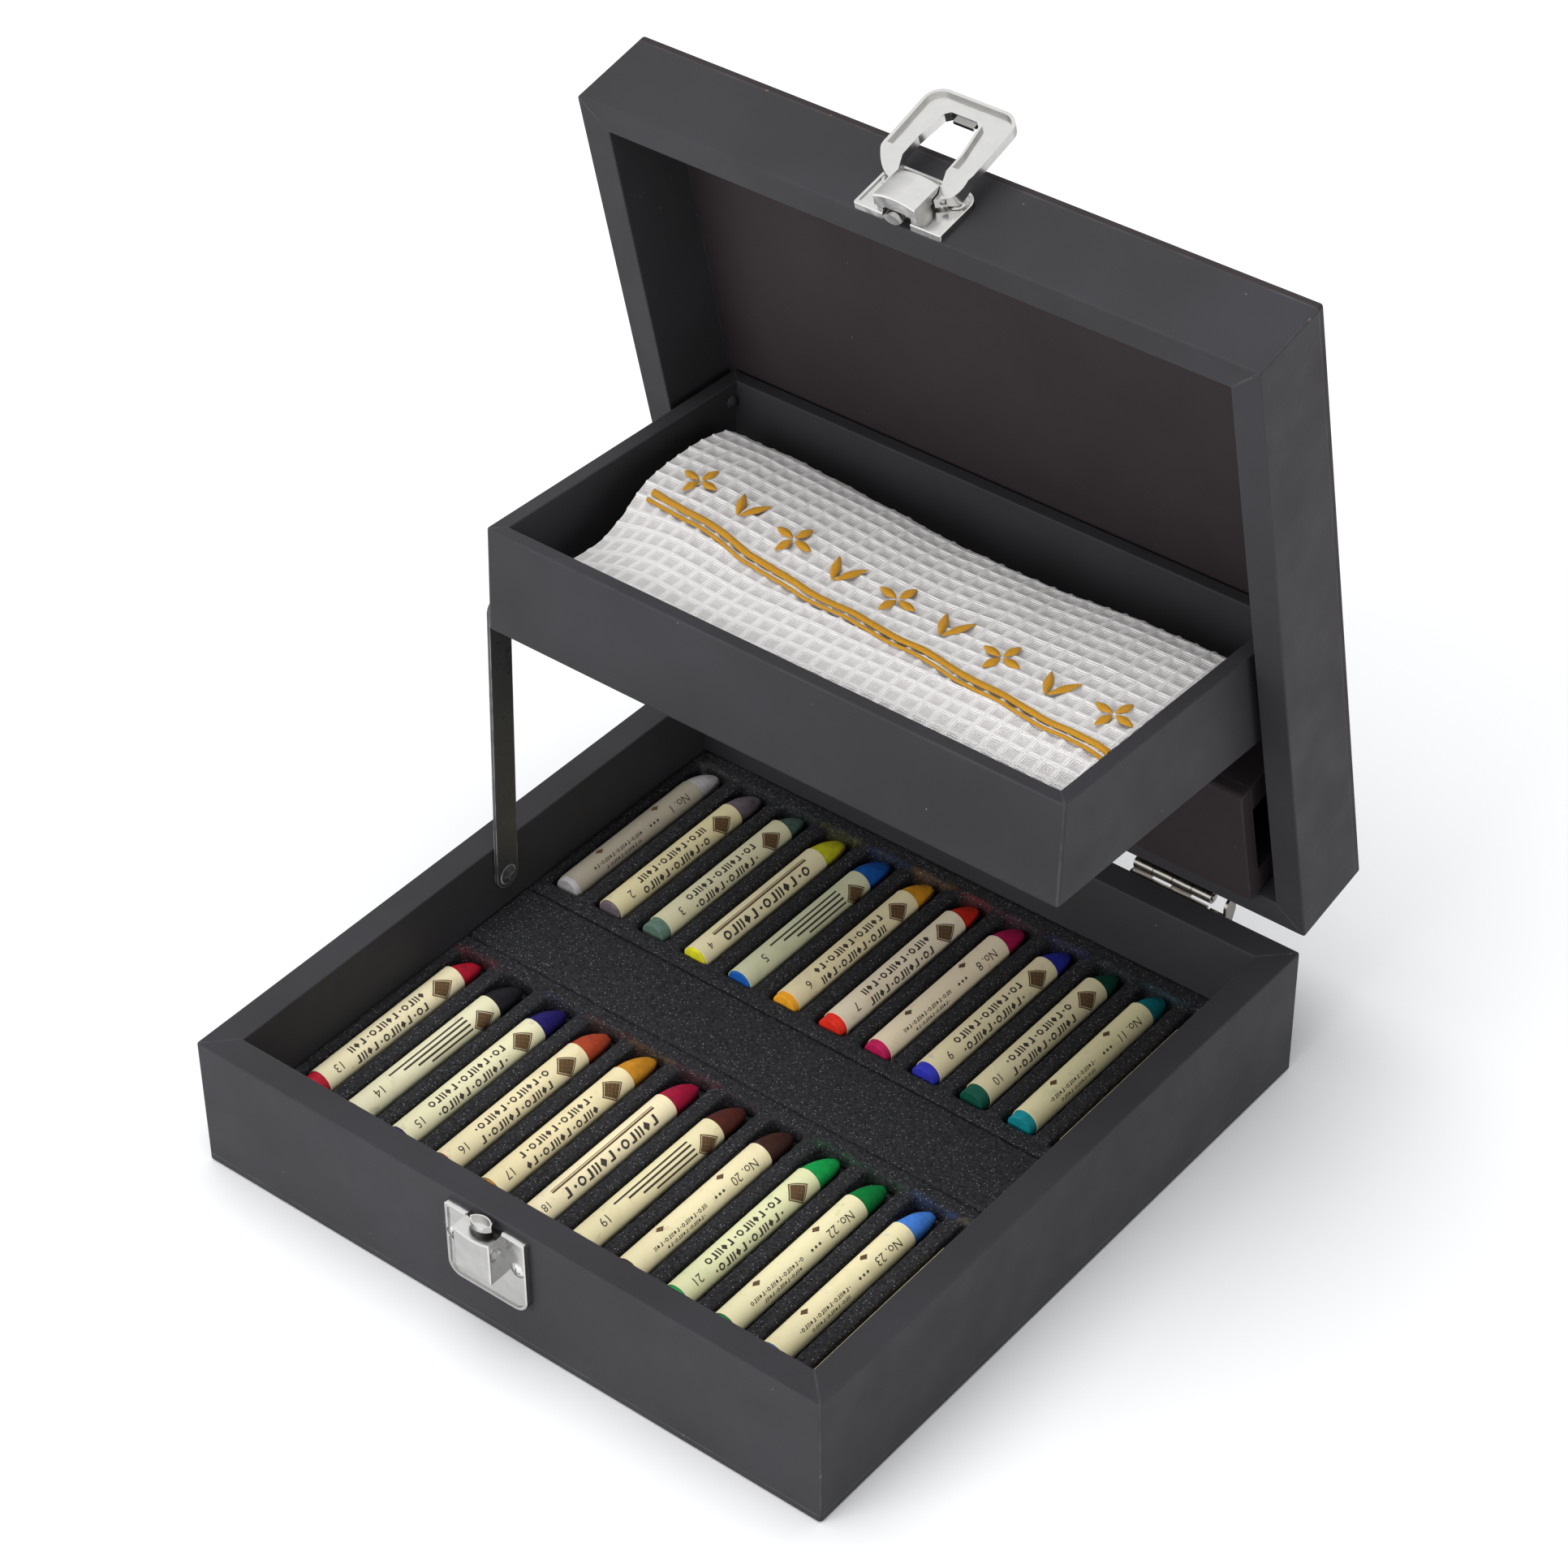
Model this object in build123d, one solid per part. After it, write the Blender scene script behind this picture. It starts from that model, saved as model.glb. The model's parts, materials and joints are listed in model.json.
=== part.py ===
from build123d import *
import math
import os

os.makedirs("parts", exist_ok=True)

# A hinged wooden case for pastel sticks. A lift-up tray is carried on the lid and
# guided by a steel arm. All sizes are in millimetres. The origin is the centre of
# the underside, +X runs right along the front, +Y runs to the hinge side, +Z is up.

# case
case_width = 240.0
case_depth = 240.0
wall = 10.2
base_height = 48.3
floor_thickness = 3.0
lid_height = 31.4
lid_top_thickness = 2.7
rim_gap = 0.3
corner_radius = 1.2
rim_radius = 0.5
floor_edge_radius = 1.0
lid_top_edge_radius = 1.1

# opening angle of the lid and lean of the tray, as the case stands open
lid_open_angle = 77.7
tray_lean = 2.4
arm_lean = 2.2

# hinges
hinge_spacing = 141.0
hinge_width = 29.3
hinge_offset = 3.8
hinge_rise = 1.2
leaf_thickness = 0.9
leaf_length = 18.5
barrel_radius = 2.2
pin_radius = 1.2
knuckle_count = 4
knuckle_gap = 0.25
hinge_screw_pitch = 17.0
hinge_screw_head_radius = 2.1
hinge_screw_shank_radius = 1.0
hinge_screw_length = 8.0

# stops behind the hinge edge
stop_beside_hinge = 6.35
stop_thickness = 1.0
stop_foot_width = 5.6
stop_foot_height = 12.0
stop_reach = 6.0
stop_gap = 0.3

# foam
foam_clearance = 0.2
foam_base_height = 13.5
foam_slot_depth = 6.3
slots_per_row = 12
slot_pitch = 18.1
slot_width = 12.6
slot_length = 78.3
slot_radius = 2.0
front_block_depth = 99.1
rear_block_depth = 90.8
slot_to_band = 5.9

# pastel sticks and their paper labels
stick_length = 76.5
stick_radius = 4.45
stick_nose = 8.0
stick_tip_radius = 0.8
label_length = 61.6
label_thickness = 0.2
label_clearance = 0.05

# channel across the lid
channel_side_room = 6.6
channel_depth = 48.3
channel_rear_gap = 0.6
channel_web = 5.0
channel_below_rim = 3.6
channel_batten = 10.0
channel_edge_radius = 2.2

# tray
tray_side_room = 3.0
tray_height = 36.9
tray_wall = 5.1
tray_floor = 3.0
tray_corner_radius = 1.5
tray_low_radius = 1.1
tray_rim_radius = 0.5
tray_front_room = 11.1
tray_rear_room = 41.0
tray_pivot_inset = 7.6
tray_pivot_drop = 6.4
tray_top_room = 0.2

# tray pivots
pivot_shank_radius = 1.5
pivot_head_radius = 2.3
pivot_head_height = 1.4
pivot_screw_depth = 6.0
pivot_washer_radius = 3.6
pivot_washer_thickness = 2.4
running_clearance = 0.15

# lift arm
arm_pivot_y = 8.1
arm_pivot_z = 36.0
arm_length = 103.6
arm_width = 9.7
arm_thickness = 1.2
arm_spacer_thickness = 0.45
arm_spacer_radius = 4.6
arm_shank_radius = 1.3
arm_head_radius = 3.6
arm_head_height = 0.7
arm_screw_length = 7.0
arm_gap = 0.12
eye_rivet_radius = 3.2
stud_radius = 1.2
stud_length = 4.0

# lid latch
latch_x = -1.8
latch_width = 30.9
latch_height = 19.5
latch_thickness = 2.4
latch_corner_radius = 5.0
latch_small_radius = 0.8
latch_notch_width = 9.8
latch_notch_depth = 2.6
latch_pan_rim = 1.2
latch_pan_depth = 0.5
latch_screw_spacing = 21.7
latch_screw_height = 13.75
latch_block_width = 14.5
latch_block_length = 12.2
latch_block_side = 6.0
latch_block_crown = 7.3
latch_boss_height = 2.4
latch_rim_room = 0.2
axle_height = 10.3
axle_stand = 2.2
axle_radius = 0.9
pin_half_width = 3.3
pin_drop = 1.7
pin_thickness = 3.2
pin_stand = 1.0
plate_screw_head_radius = 2.7
plate_screw_head_height = 0.9
plate_screw_shank_radius = 1.2
plate_screw_length = 9.0
screw_head_room = 0.1

# bail
bail_length = 32.2
bail_width = 31.4
bail_corner_radius = 6.0
window_side_room = 0.35
window_straight = 13.0
window_top_width = 12.0
window_top = 25.0
bail_thickness = 3.2
bail_crank = 4.7
bail_dish_depth = 1.4
bail_dish_rim = 1.1
bail_hook_reach = 1.2
bail_hook_width = 7.2
bail_side_gap = 0.3
bail_lean = 5.5

# catch on the base
catch_width = 30.8
catch_height = 28.2
catch_thickness = 2.6
catch_rim_room = 2.3
catch_notch_width = 12.5
catch_notch_depth = 3.0
catch_notch_slant = 0.8
catch_block_width = 13.8
catch_block_length = 15.9
catch_block_rise = 6.1
catch_block_foot = 11.8
catch_block_dip = 1.4
catch_block_room = 0.05
catch_shell = 1.3
catch_lip_depth = 5.0
catch_screw_spacing = 24.4
catch_screw_height = 16.6
socket_room = 0.3
socket_wall = 0.45
socket_rim_room = 0.3
socket_block_gap = 0.3
socket_floor = 0.6

# towel folded into the tray
towel_clearance = 0.4
towel_rear_room = 10.6
towel_left_room = 8.0
towel_crest_drop = 2.6
towel_end_drop = 14.5
towel_edge_round = 9.0
towel_rear_round = 6.5

# places that follow from the sizes above
half_width = case_width / 2
half_depth = case_depth / 2
inner_half_width = half_width - wall
inner_half_depth = half_depth - wall
lid_rim_z = base_height + rim_gap
lid_crown_z = lid_rim_z + lid_height
lid_ceiling_z = lid_crown_z - lid_top_thickness
hinge_y = half_depth + hinge_offset
hinge_z = lid_rim_z + hinge_rise
stop_x = hinge_spacing / 2 + hinge_width / 2 + stop_beside_hinge
hinge_axis = Axis((0, hinge_y, hinge_z), (1, 0, 0))

foam_half_width = inner_half_width - foam_clearance
foam_half_depth = inner_half_depth - foam_clearance
foam_floor_z = floor_thickness + foam_base_height
foam_top_z = foam_floor_z + foam_slot_depth
band_front_y = -inner_half_depth + front_block_depth
band_rear_y = inner_half_depth - rear_block_depth

label_inner_radius = stick_radius + label_clearance
label_radius = label_inner_radius + label_thickness
stick_axis_z = foam_floor_z + label_radius + label_clearance

channel_half_width = inner_half_width - channel_side_room
channel_rear_y = inner_half_depth - channel_rear_gap
channel_front_y = channel_rear_y - channel_depth
channel_low_z = lid_rim_z - channel_below_rim
channel_web_z = channel_low_z + channel_web

tray_half_width = inner_half_width - tray_side_room
tray_inner_half_width = tray_half_width - tray_wall
tray_front_y = -inner_half_depth + tray_front_room
tray_rear_y = channel_front_y - tray_rear_room
tray_pivot_y = tray_rear_y - tray_pivot_inset
tray_corner_reach = tray_rim_radius + math.hypot(
    tray_pivot_inset - tray_rim_radius, tray_pivot_drop - tray_rim_radius)
tray_pivot_z = lid_ceiling_z - tray_corner_reach - tray_top_room
tray_top_z = tray_pivot_z + tray_pivot_drop
tray_low_z = tray_top_z - tray_height
tray_floor_z = tray_low_z + tray_floor

arm_outer_x = -inner_half_width + arm_spacer_thickness + arm_gap
arm_inner_x = arm_outer_x + arm_thickness
latch_face_y = -half_depth - latch_thickness
latch_low_z = lid_rim_z + latch_rim_room
axle_y = latch_face_y - axle_stand
axle_z = latch_low_z + axle_height
catch_top_z = base_height - catch_rim_room
catch_low_z = catch_top_z - catch_height
catch_face_y = -half_depth - catch_thickness
catch_block_low_z = catch_low_z + catch_block_foot
catch_block_top_z = catch_block_low_z + catch_block_length
pin_y = latch_face_y - pin_stand

# how far each stick's tip lies from the end of its slot, and how much of the tip is
# bare, left to right
rear_tip_gaps = [0.6, 0.6, 0.5, 1.5, 1.3, 1.4, 1.3, 1.4, 1.1, 0.4, 0.4, 0.9]
rear_bare_tips = [12.8, 14.0, 10.6, 14.0, 14.4, 12.4, 11.3, 12.3, 11.5, 10.7, 11.4, 12.0]
front_tip_gaps = [0.9, 1.5, 1.3, 1.1, 0.3, 1.5, 0.9, 0.8, 0.8, 1.3, 1.3, 1.0]
front_bare_tips = [10.9, 13.8, 13.4, 13.8, 14.2, 14.4, 14.4, 14.0, 13.5, 13.2, 13.6, 13.0]


# identical pieces kept as separate solids of one node
def group(shapes):
    return Compound(shapes)


def block(x0, x1, y0, y1, z0, z1):
    centre = Pos((x0 + x1) / 2, (y0 + y1) / 2, (z0 + z1) / 2)
    return centre * Box(x1 - x0, y1 - y0, z1 - z0)


def rod_x(radius, x0, x1, y, z):
    return Pos((x0 + x1) / 2, y, z) * Rot(0, 90, 0) * Cylinder(radius, x1 - x0)


def tube_x(radius, bore, x0, x1, y, z):
    return rod_x(radius, x0, x1, y, z) - rod_x(bore, x0 - 1, x1 + 1, y, z)


# profile points are (x, z) pairs, pushed along Y from y0 to y1
def prism_y(face, y0, y1):
    upright = Plane((0, y1, 0), x_dir=(1, 0, 0), z_dir=(0, -1, 0)) * face
    return extrude(upright, y1 - y0, dir=(0, -1, 0))


# cross recess cut into a screw head whose top is at the origin, facing +Z
def cross_recess(reach, depth):
    width = reach * 0.32
    return Box(2 * reach, width, 2 * depth) + Box(width, 2 * reach, 2 * depth)


# pan head screw, underside of the head at the origin, head towards +Z
def pan_screw(head_radius, head_height, shank_radius, length):
    dome = (head_radius ** 2 + head_height ** 2) / (2 * head_height)
    head = Pos(0, 0, head_height - dome) * Sphere(dome)
    head = head & Pos(0, 0, head_height / 2) * Cylinder(head_radius, head_height)
    shank = Pos(0, 0, -length / 2) * Cylinder(shank_radius, length)
    recess = Pos(0, 0, head_height) * cross_recess(head_radius * 0.55, head_height * 0.55)
    return head + shank - recess


# countersunk screw, top of the head at the origin, head towards +Z
def countersunk_screw(head_radius, shank_radius, length, grow=0.0):
    head_height = head_radius - shank_radius
    head = Pos(0, 0, -head_height / 2) * Cone(shank_radius + grow, head_radius + grow, head_height)
    shank = Pos(0, 0, -length / 2) * Cylinder(shank_radius + grow, length)
    screw = head + shank
    if grow:
        return screw
    return screw - cross_recess(head_radius * 0.55, head_height * 0.4)


# four walls of a box, mitred at the corners
def mitred_walls(ring, half_x, half_y, thickness, low_z, high_z):
    out = 1.0
    deep = thickness + out
    walls = []
    for along, across, turn in ((half_x, half_y, 0), (half_y, half_x, 90),
                                (half_x, half_y, 180), (half_y, half_x, 270)):
        wedge = Polygon((-along - out, -across - out), (along + out, -across - out),
                        (along - deep, -across + deep), (-along + deep, -across + deep),
                        align=None)
        prism = Pos(0, 0, low_z) * extrude(wedge, high_z - low_z)
        walls.append(ring & Rot(0, 0, turn) * prism)
    front, right, rear, left = walls
    return front, rear, left, right


def open_ring(half_x, half_y, thickness, low_z, high_z, corner, low_round=0.0):
    outer = block(-half_x, half_x, -half_y, half_y, low_z, high_z)
    outer = fillet(outer.edges().filter_by(Axis.Z), corner)
    if low_round:
        outer = fillet(outer.edges().group_by(Axis.Z)[0], low_round)
    inner_x = half_x - thickness
    inner_y = half_y - thickness
    return outer - block(-inner_x, inner_x, -inner_y, inner_y, low_z - 1, high_z + 1)


# turns a shape from its place on the closed case to its place as the lid stands open
def on_open_lid(shape):
    return shape.rotate(hinge_axis, -lid_open_angle)


def tray_pivot_open():
    turn = math.radians(lid_open_angle)
    along = tray_pivot_y - hinge_y
    up = tray_pivot_z - hinge_z
    return (hinge_y + along * math.cos(turn) + up * math.sin(turn),
            hinge_z - along * math.sin(turn) + up * math.cos(turn))


def on_raised_tray(shape):
    open_y, open_z = tray_pivot_open()
    lowered = shape.rotate(Axis((0, tray_pivot_y, tray_pivot_z), (1, 0, 0)), -tray_lean)
    return Pos(0, open_y - tray_pivot_y, open_z - tray_pivot_z) * lowered


def on_raised_arm(shape):
    return shape.rotate(Axis((0, arm_pivot_y, arm_pivot_z), (1, 0, 0)), -arm_lean)


# place of the arm's upper eye on the tray, as the closed tray holds it
def arm_eye_on_tray():
    lean = math.radians(arm_lean)
    open_y, open_z = tray_pivot_open()
    away = arm_pivot_y + arm_length * math.sin(lean) - open_y
    up = arm_pivot_z + arm_length * math.cos(lean) - open_z
    level = math.radians(tray_lean)
    return (tray_pivot_y + away * math.cos(level) - up * math.sin(level),
            tray_pivot_z + away * math.sin(level) + up * math.cos(level))


def hinge_screw_places(leaf_z):
    return [(side * hinge_spacing / 2 + end * hinge_screw_pitch / 2, leaf_z)
            for side in (-1, 1) for end in (-1, 1)]


base_leaf_screw_z = hinge_z - barrel_radius - leaf_length / 2
lid_leaf_screw_z = hinge_z + barrel_radius + leaf_length / 2


def rear_screw(x, z, grow=0.0):
    screw = countersunk_screw(hinge_screw_head_radius, hinge_screw_shank_radius,
                              hinge_screw_length, grow)
    return Pos(x, half_depth + leaf_thickness, z) * Rot(-90, 0, 0) * screw


def plate_screw(x, y, z):
    screw = pan_screw(plate_screw_head_radius, plate_screw_head_height,
                      plate_screw_shank_radius, plate_screw_length)
    return Pos(x, y, z) * Rot(90, 0, 0) * screw


def plate_screw_hole(x, z):
    hole = Cylinder(plate_screw_shank_radius + 0.05, 2 * plate_screw_length + 4)
    return Pos(x, -half_depth, z) * Rot(90, 0, 0) * hole


def latch_screw_places():
    z = latch_low_z + latch_screw_height
    return [(latch_x + side * latch_screw_spacing / 2, z) for side in (-1, 1)]


def catch_screw_places():
    z = catch_low_z + catch_screw_height
    return [(latch_x + side * catch_screw_spacing / 2, z) for side in (-1, 1)]


# case base
def base_walls():
    ring = open_ring(half_width, half_depth, wall, floor_thickness, base_height, corner_radius)
    ring = fillet(ring.edges().group_by(Axis.Z)[-1], rim_radius)
    front, rear, left, right = mitred_walls(ring, half_width, half_depth, wall,
                                            floor_thickness, base_height)
    for x, z in catch_screw_places():
        front -= plate_screw_hole(x, z)
    for x, z in hinge_screw_places(base_leaf_screw_z):
        rear -= rear_screw(x, z, 0.05)
    left -= rod_x(arm_shank_radius + 0.05, -inner_half_width - arm_screw_length,
                  -inner_half_width + 1, arm_pivot_y, arm_pivot_z)
    return front, rear, left, right


def base_floor():
    panel = block(-half_width, half_width, -half_depth, half_depth, 0, floor_thickness)
    panel = fillet(panel.edges().filter_by(Axis.Z), corner_radius)
    return fillet(panel.edges().group_by(Axis.Z)[0], floor_edge_radius)


# foam
def foam_base_layer():
    return block(-foam_half_width, foam_half_width, -foam_half_depth, foam_half_depth,
                 floor_thickness, foam_floor_z)


def slot_x(number):
    return (number - (slots_per_row - 1) / 2) * slot_pitch


def slotted_block(front_y, rear_y, slot_front_y):
    foam = block(-foam_half_width, foam_half_width, front_y, rear_y, foam_floor_z, foam_top_z)
    middle_y = slot_front_y + slot_length / 2
    for number in range(slots_per_row):
        slot = extrude(RectangleRounded(slot_width, slot_length, slot_radius),
                       foam_slot_depth + 2)
        foam -= Pos(slot_x(number), middle_y, foam_floor_z - 1) * slot
    return foam


front_slot_y = band_front_y - slot_to_band - slot_length
rear_slot_y = band_rear_y + slot_to_band


def foam_front_block():
    return slotted_block(-foam_half_depth, band_front_y, front_slot_y)


def foam_rear_block():
    return slotted_block(band_rear_y, foam_half_depth, rear_slot_y)


def foam_middle_band():
    return block(-foam_half_width, foam_half_width, band_front_y, band_rear_y,
                 foam_floor_z, foam_top_z)


# a stick lies along Y, tip towards +Y at the origin
def stick():
    outline = [
        Line((0, 0), (0, -stick_length)),
        Line((0, -stick_length), (stick_radius - 0.4, -stick_length)),
        Line((stick_radius - 0.4, -stick_length), (stick_radius, -stick_length + 0.4)),
        Line((stick_radius, -stick_length + 0.4), (stick_radius, -stick_nose)),
        ThreePointArc((stick_radius, -stick_nose), (stick_radius * 0.82, -stick_nose * 0.4),
                      (stick_tip_radius, 0)),
        Line((stick_tip_radius, 0), (0, 0)),
    ]
    return revolve(make_face(Wire(outline)), Axis.Y)


def label():
    tube = Cylinder(label_radius, label_length) - Cylinder(label_inner_radius, label_length + 2)
    return Rot(90, 0, 0) * tube


def stick_row(slot_front_y, gaps):
    sticks = []
    shape = stick()
    for number in range(slots_per_row):
        tip_y = slot_front_y + slot_length - gaps[number % len(gaps)]
        sticks.append(Pos(slot_x(number), tip_y, stick_axis_z) * shape)
    return group(sticks)


def label_row(slot_front_y, gaps, bare_tips):
    labels = []
    shape = label()
    for number in range(slots_per_row):
        tip_y = slot_front_y + slot_length - gaps[number % len(gaps)]
        middle_y = tip_y - bare_tips[number % len(bare_tips)] - label_length / 2
        labels.append(Pos(slot_x(number), middle_y, stick_axis_z) * shape)
    return group(labels)


# lid
def lid_walls():
    ring = open_ring(half_width, half_depth, wall, lid_rim_z, lid_ceiling_z, corner_radius)
    ring = fillet(ring.edges().group_by(Axis.Z)[0], rim_radius)
    front, rear, left, right = mitred_walls(ring, half_width, half_depth, wall,
                                            lid_rim_z, lid_ceiling_z)
    for x, z in latch_screw_places():
        front -= plate_screw_hole(x, z)
    for x, z in hinge_screw_places(lid_leaf_screw_z):
        rear -= rear_screw(x, z, 0.05)
    reach = inner_half_width + pivot_screw_depth
    bore = pivot_shank_radius + 0.05
    left -= rod_x(bore, -reach, -inner_half_width + 1, tray_pivot_y, tray_pivot_z)
    right -= rod_x(bore, inner_half_width - 1, reach, tray_pivot_y, tray_pivot_z)
    return front, rear, left, right


def lid_top():
    panel = block(-half_width, half_width, -half_depth, half_depth, lid_ceiling_z, lid_crown_z)
    panel = fillet(panel.edges().filter_by(Axis.Z), corner_radius)
    return fillet(panel.edges().group_by(Axis.Z)[-1], lid_top_edge_radius)


def channel_web_board():
    board = block(-channel_half_width, channel_half_width, channel_front_y, channel_rear_y,
                  channel_low_z, channel_web_z)
    front_low = board.edges().filter_by(Axis.X).group_by(Axis.Z)[0].sort_by(Axis.Y)[0]
    return fillet(front_low, channel_edge_radius)


def channel_batten_at(front_y):
    return block(-channel_half_width, channel_half_width, front_y, front_y + channel_batten,
                 channel_web_z, lid_ceiling_z)


# hinges: knuckles 1 and 3 belong to the base, 2 and 4 to the lid
def knuckle_range(side, number):
    pitch = hinge_width / knuckle_count
    start = side * hinge_spacing / 2 - hinge_width / 2 + number * pitch
    return start + knuckle_gap / 2, start + pitch - knuckle_gap / 2


def hinge_leaf(side, upward):
    x0 = side * hinge_spacing / 2 - hinge_width / 2
    x1 = x0 + hinge_width
    neck_z = hinge_z + upward * barrel_radius
    far_z = neck_z + upward * leaf_length
    near_z = neck_z - upward * leaf_thickness
    low, high = sorted((near_z, far_z))
    leaf = block(x0, x1, half_depth, half_depth + leaf_thickness, low, high)
    outer = leaf.edges().filter_by(Axis.Y)
    outer = outer.group_by(Axis.Z)[0] if upward < 0 else outer.group_by(Axis.Z)[-1]
    leaf = fillet(outer, 1.6)
    first = 0 if upward < 0 else 1
    for number in range(first, knuckle_count, 2):
        k0, k1 = knuckle_range(side, number)
        neck_low, neck_high = sorted((neck_z, near_z))
        leaf += block(k0, k1, half_depth, hinge_y, neck_low, neck_high)
        leaf += rod_x(barrel_radius, k0, k1, hinge_y, hinge_z)
    leaf -= rod_x(pin_radius + 0.1, x0 - 1, x1 + 1, hinge_y, hinge_z)
    screw_z = base_leaf_screw_z if upward < 0 else lid_leaf_screw_z
    for x, z in hinge_screw_places(screw_z):
        leaf -= rear_screw(x, z, 0.05)
    return leaf


def hinge_leaves(upward):
    return group([hinge_leaf(side, upward) for side in (-1, 1)])


def hinge_pins():
    reach = hinge_width / 2 + 0.4
    return group([
        rod_x(pin_radius, side * hinge_spacing / 2 - reach, side * hinge_spacing / 2 + reach,
              hinge_y, hinge_z) for side in (-1, 1)])


def hinge_screws(leaf_z):
    return group([rear_screw(x, z) for x, z in hinge_screw_places(leaf_z)])


# an ear that the open lid's rear face comes down to, on a foot against the rear wall
def stop_ear(side):
    turn = math.radians(lid_open_angle)
    nose = hinge_offset - stop_gap
    front_y = half_depth + stop_gap
    rear_y = half_depth + stop_reach
    tangent_y = hinge_y - nose * math.cos(turn)
    tangent_z = hinge_z + nose * math.sin(turn)
    rear_z = tangent_z + (rear_y - tangent_y) / math.tan(turn)
    low_z = base_height - stop_foot_height
    half_turn = math.radians(lid_open_angle / 2)
    middle = (hinge_y - nose * math.cos(half_turn), hinge_z + nose * math.sin(half_turn))
    outline = [
        Line((front_y, low_z), (front_y, hinge_z)),
        ThreePointArc((front_y, hinge_z), middle, (tangent_y, tangent_z)),
        Line((tangent_y, tangent_z), (rear_y, rear_z)),
        Line((rear_y, rear_z), (rear_y, hinge_z - 2)),
        Line((rear_y, hinge_z - 2), (front_y + stop_thickness, low_z)),
        Line((front_y + stop_thickness, low_z), (front_y, low_z)),
    ]
    x0 = side * stop_x - stop_thickness / 2
    ear = Pos(x0, 0, 0) * extrude(Plane.YZ * make_face(Wire(outline)), stop_thickness,
                                  dir=(1, 0, 0))
    inner_x = side * (stop_x - stop_foot_width)
    outer_x = side * (stop_x + stop_thickness / 2)
    foot_x = sorted((inner_x, outer_x))
    foot = block(foot_x[0], foot_x[1], half_depth, half_depth + stop_thickness,
                 low_z - 2, base_height - 0.4)
    return ear + foot


def lid_stops():
    return group([stop_ear(side) for side in (-1, 1)])


# plate outlines lie in (x, z), seen from the front
def plate_face(half, low_z, high_z, radius, high_end):
    centre_z = (low_z + high_z) / 2
    face = Pos(latch_x, centre_z) * Rectangle(2 * half, high_z - low_z)
    large, small = (-1, 0) if high_end else (0, -1)
    face = fillet(face.vertices().group_by(Axis.Y)[large], radius)
    corners = face.vertices().group_by(Axis.Y)[small]
    return fillet(corners, latch_small_radius)


def dished_plate(half, low_z, high_z, thickness, radius, high_end):
    face_y = -half_depth - thickness
    plate = prism_y(plate_face(half, low_z, high_z, radius, high_end), face_y, -half_depth)
    front = plate.edges().filter_by(lambda e: abs(e.center().Y - face_y) < 1e-3)
    plate = fillet(front, 0.45)
    rim = latch_pan_rim
    pan = plate_face(half - rim, low_z + rim, high_z - rim, radius - rim, high_end)
    return plate - prism_y(pan, face_y - 1, face_y + latch_pan_depth)


# lid latch, at its place on the closed case
def latch_plate():
    low = latch_low_z
    high = low + latch_height
    plate = dished_plate(latch_width / 2, low, high, latch_thickness,
                         latch_corner_radius, True)
    half_block = latch_block_width / 2
    boss_front = latch_face_y - latch_boss_height
    plate += block(latch_x - half_block + 0.4, latch_x + half_block - 0.4,
                   boss_front, -half_depth - 1, low + 0.6, low + latch_block_length - 0.5)
    half_notch = latch_notch_width / 2
    plate -= block(latch_x - half_notch, latch_x + half_notch, boss_front - 1,
                   -half_depth + 1, low - 1, low + latch_notch_depth)
    for x, z in latch_screw_places():
        plate -= plate_screw_hole(x, z)
        seat_y = latch_face_y + latch_pan_depth
        plate += Pos(x, seat_y, z) * Rot(90, 0, 0) * seat_ring()
    plate -= rod_x(axle_radius + 0.05, latch_x - half_block, latch_x + half_block,
                   axle_y, axle_z)
    return plate


def seat_ring():
    outer = plate_screw_head_radius + 1.0
    inner = plate_screw_head_radius + 0.25
    return Pos(0, 0, 0.1) * (Cylinder(outer, 0.4) - Cylinder(inner, 2))


def latch_block():
    half = latch_block_width / 2
    back_y = latch_face_y - latch_boss_height
    side_y = latch_face_y - latch_block_side
    crown_y = latch_face_y - latch_block_crown
    outline = [
        Line((latch_x - half, back_y), (latch_x + half, back_y)),
        Line((latch_x + half, back_y), (latch_x + half, side_y)),
        ThreePointArc((latch_x + half, side_y), (latch_x, crown_y), (latch_x - half, side_y)),
        Line((latch_x - half, side_y), (latch_x - half, back_y)),
    ]
    low = latch_low_z
    cover = Pos(0, 0, low) * extrude(make_face(Wire(outline)), latch_block_length)
    crown_edges = cover.edges().filter_by(lambda e: e.center().Y < side_y - 0.2)
    cover = fillet(crown_edges, 0.6)
    cover -= rod_x(axle_radius + 0.05, latch_x - half - 1, latch_x + half + 1, axle_y, axle_z)
    hollow = pin_half_width + 0.3
    hollow_y = pin_y - pin_thickness / 2 - 0.25
    if hollow_y < back_y:
        cover -= block(latch_x - hollow, latch_x + hollow, hollow_y, back_y + 1,
                       low - 1, low + latch_notch_depth)
    return cover


# a lens seen from above: two arcs meeting at pointed ends, pushed along Z
def lens(half_width_x, thickness, y_middle, z0, z1):
    left = (latch_x - half_width_x, y_middle)
    right = (latch_x + half_width_x, y_middle)
    front = ThreePointArc(left, (latch_x, y_middle - thickness / 2), right)
    rear = ThreePointArc(right, (latch_x, y_middle + thickness / 2), left)
    return Pos(0, 0, z0) * extrude(make_face(Wire([front, rear])), z1 - z0)


def latch_locating_pin():
    return lens(pin_half_width, pin_thickness, pin_y, lid_rim_z - pin_drop,
                latch_low_z + latch_notch_depth - 0.15)


def latch_screws():
    seat_y = latch_face_y + latch_pan_depth
    return group([plate_screw(x, seat_y, z) for x, z in latch_screw_places()])


def latch_axle():
    reach = latch_block_width / 2 + bail_side_gap + 2.6
    return rod_x(axle_radius, latch_x - reach, latch_x + reach, axle_y, axle_z)


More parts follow.
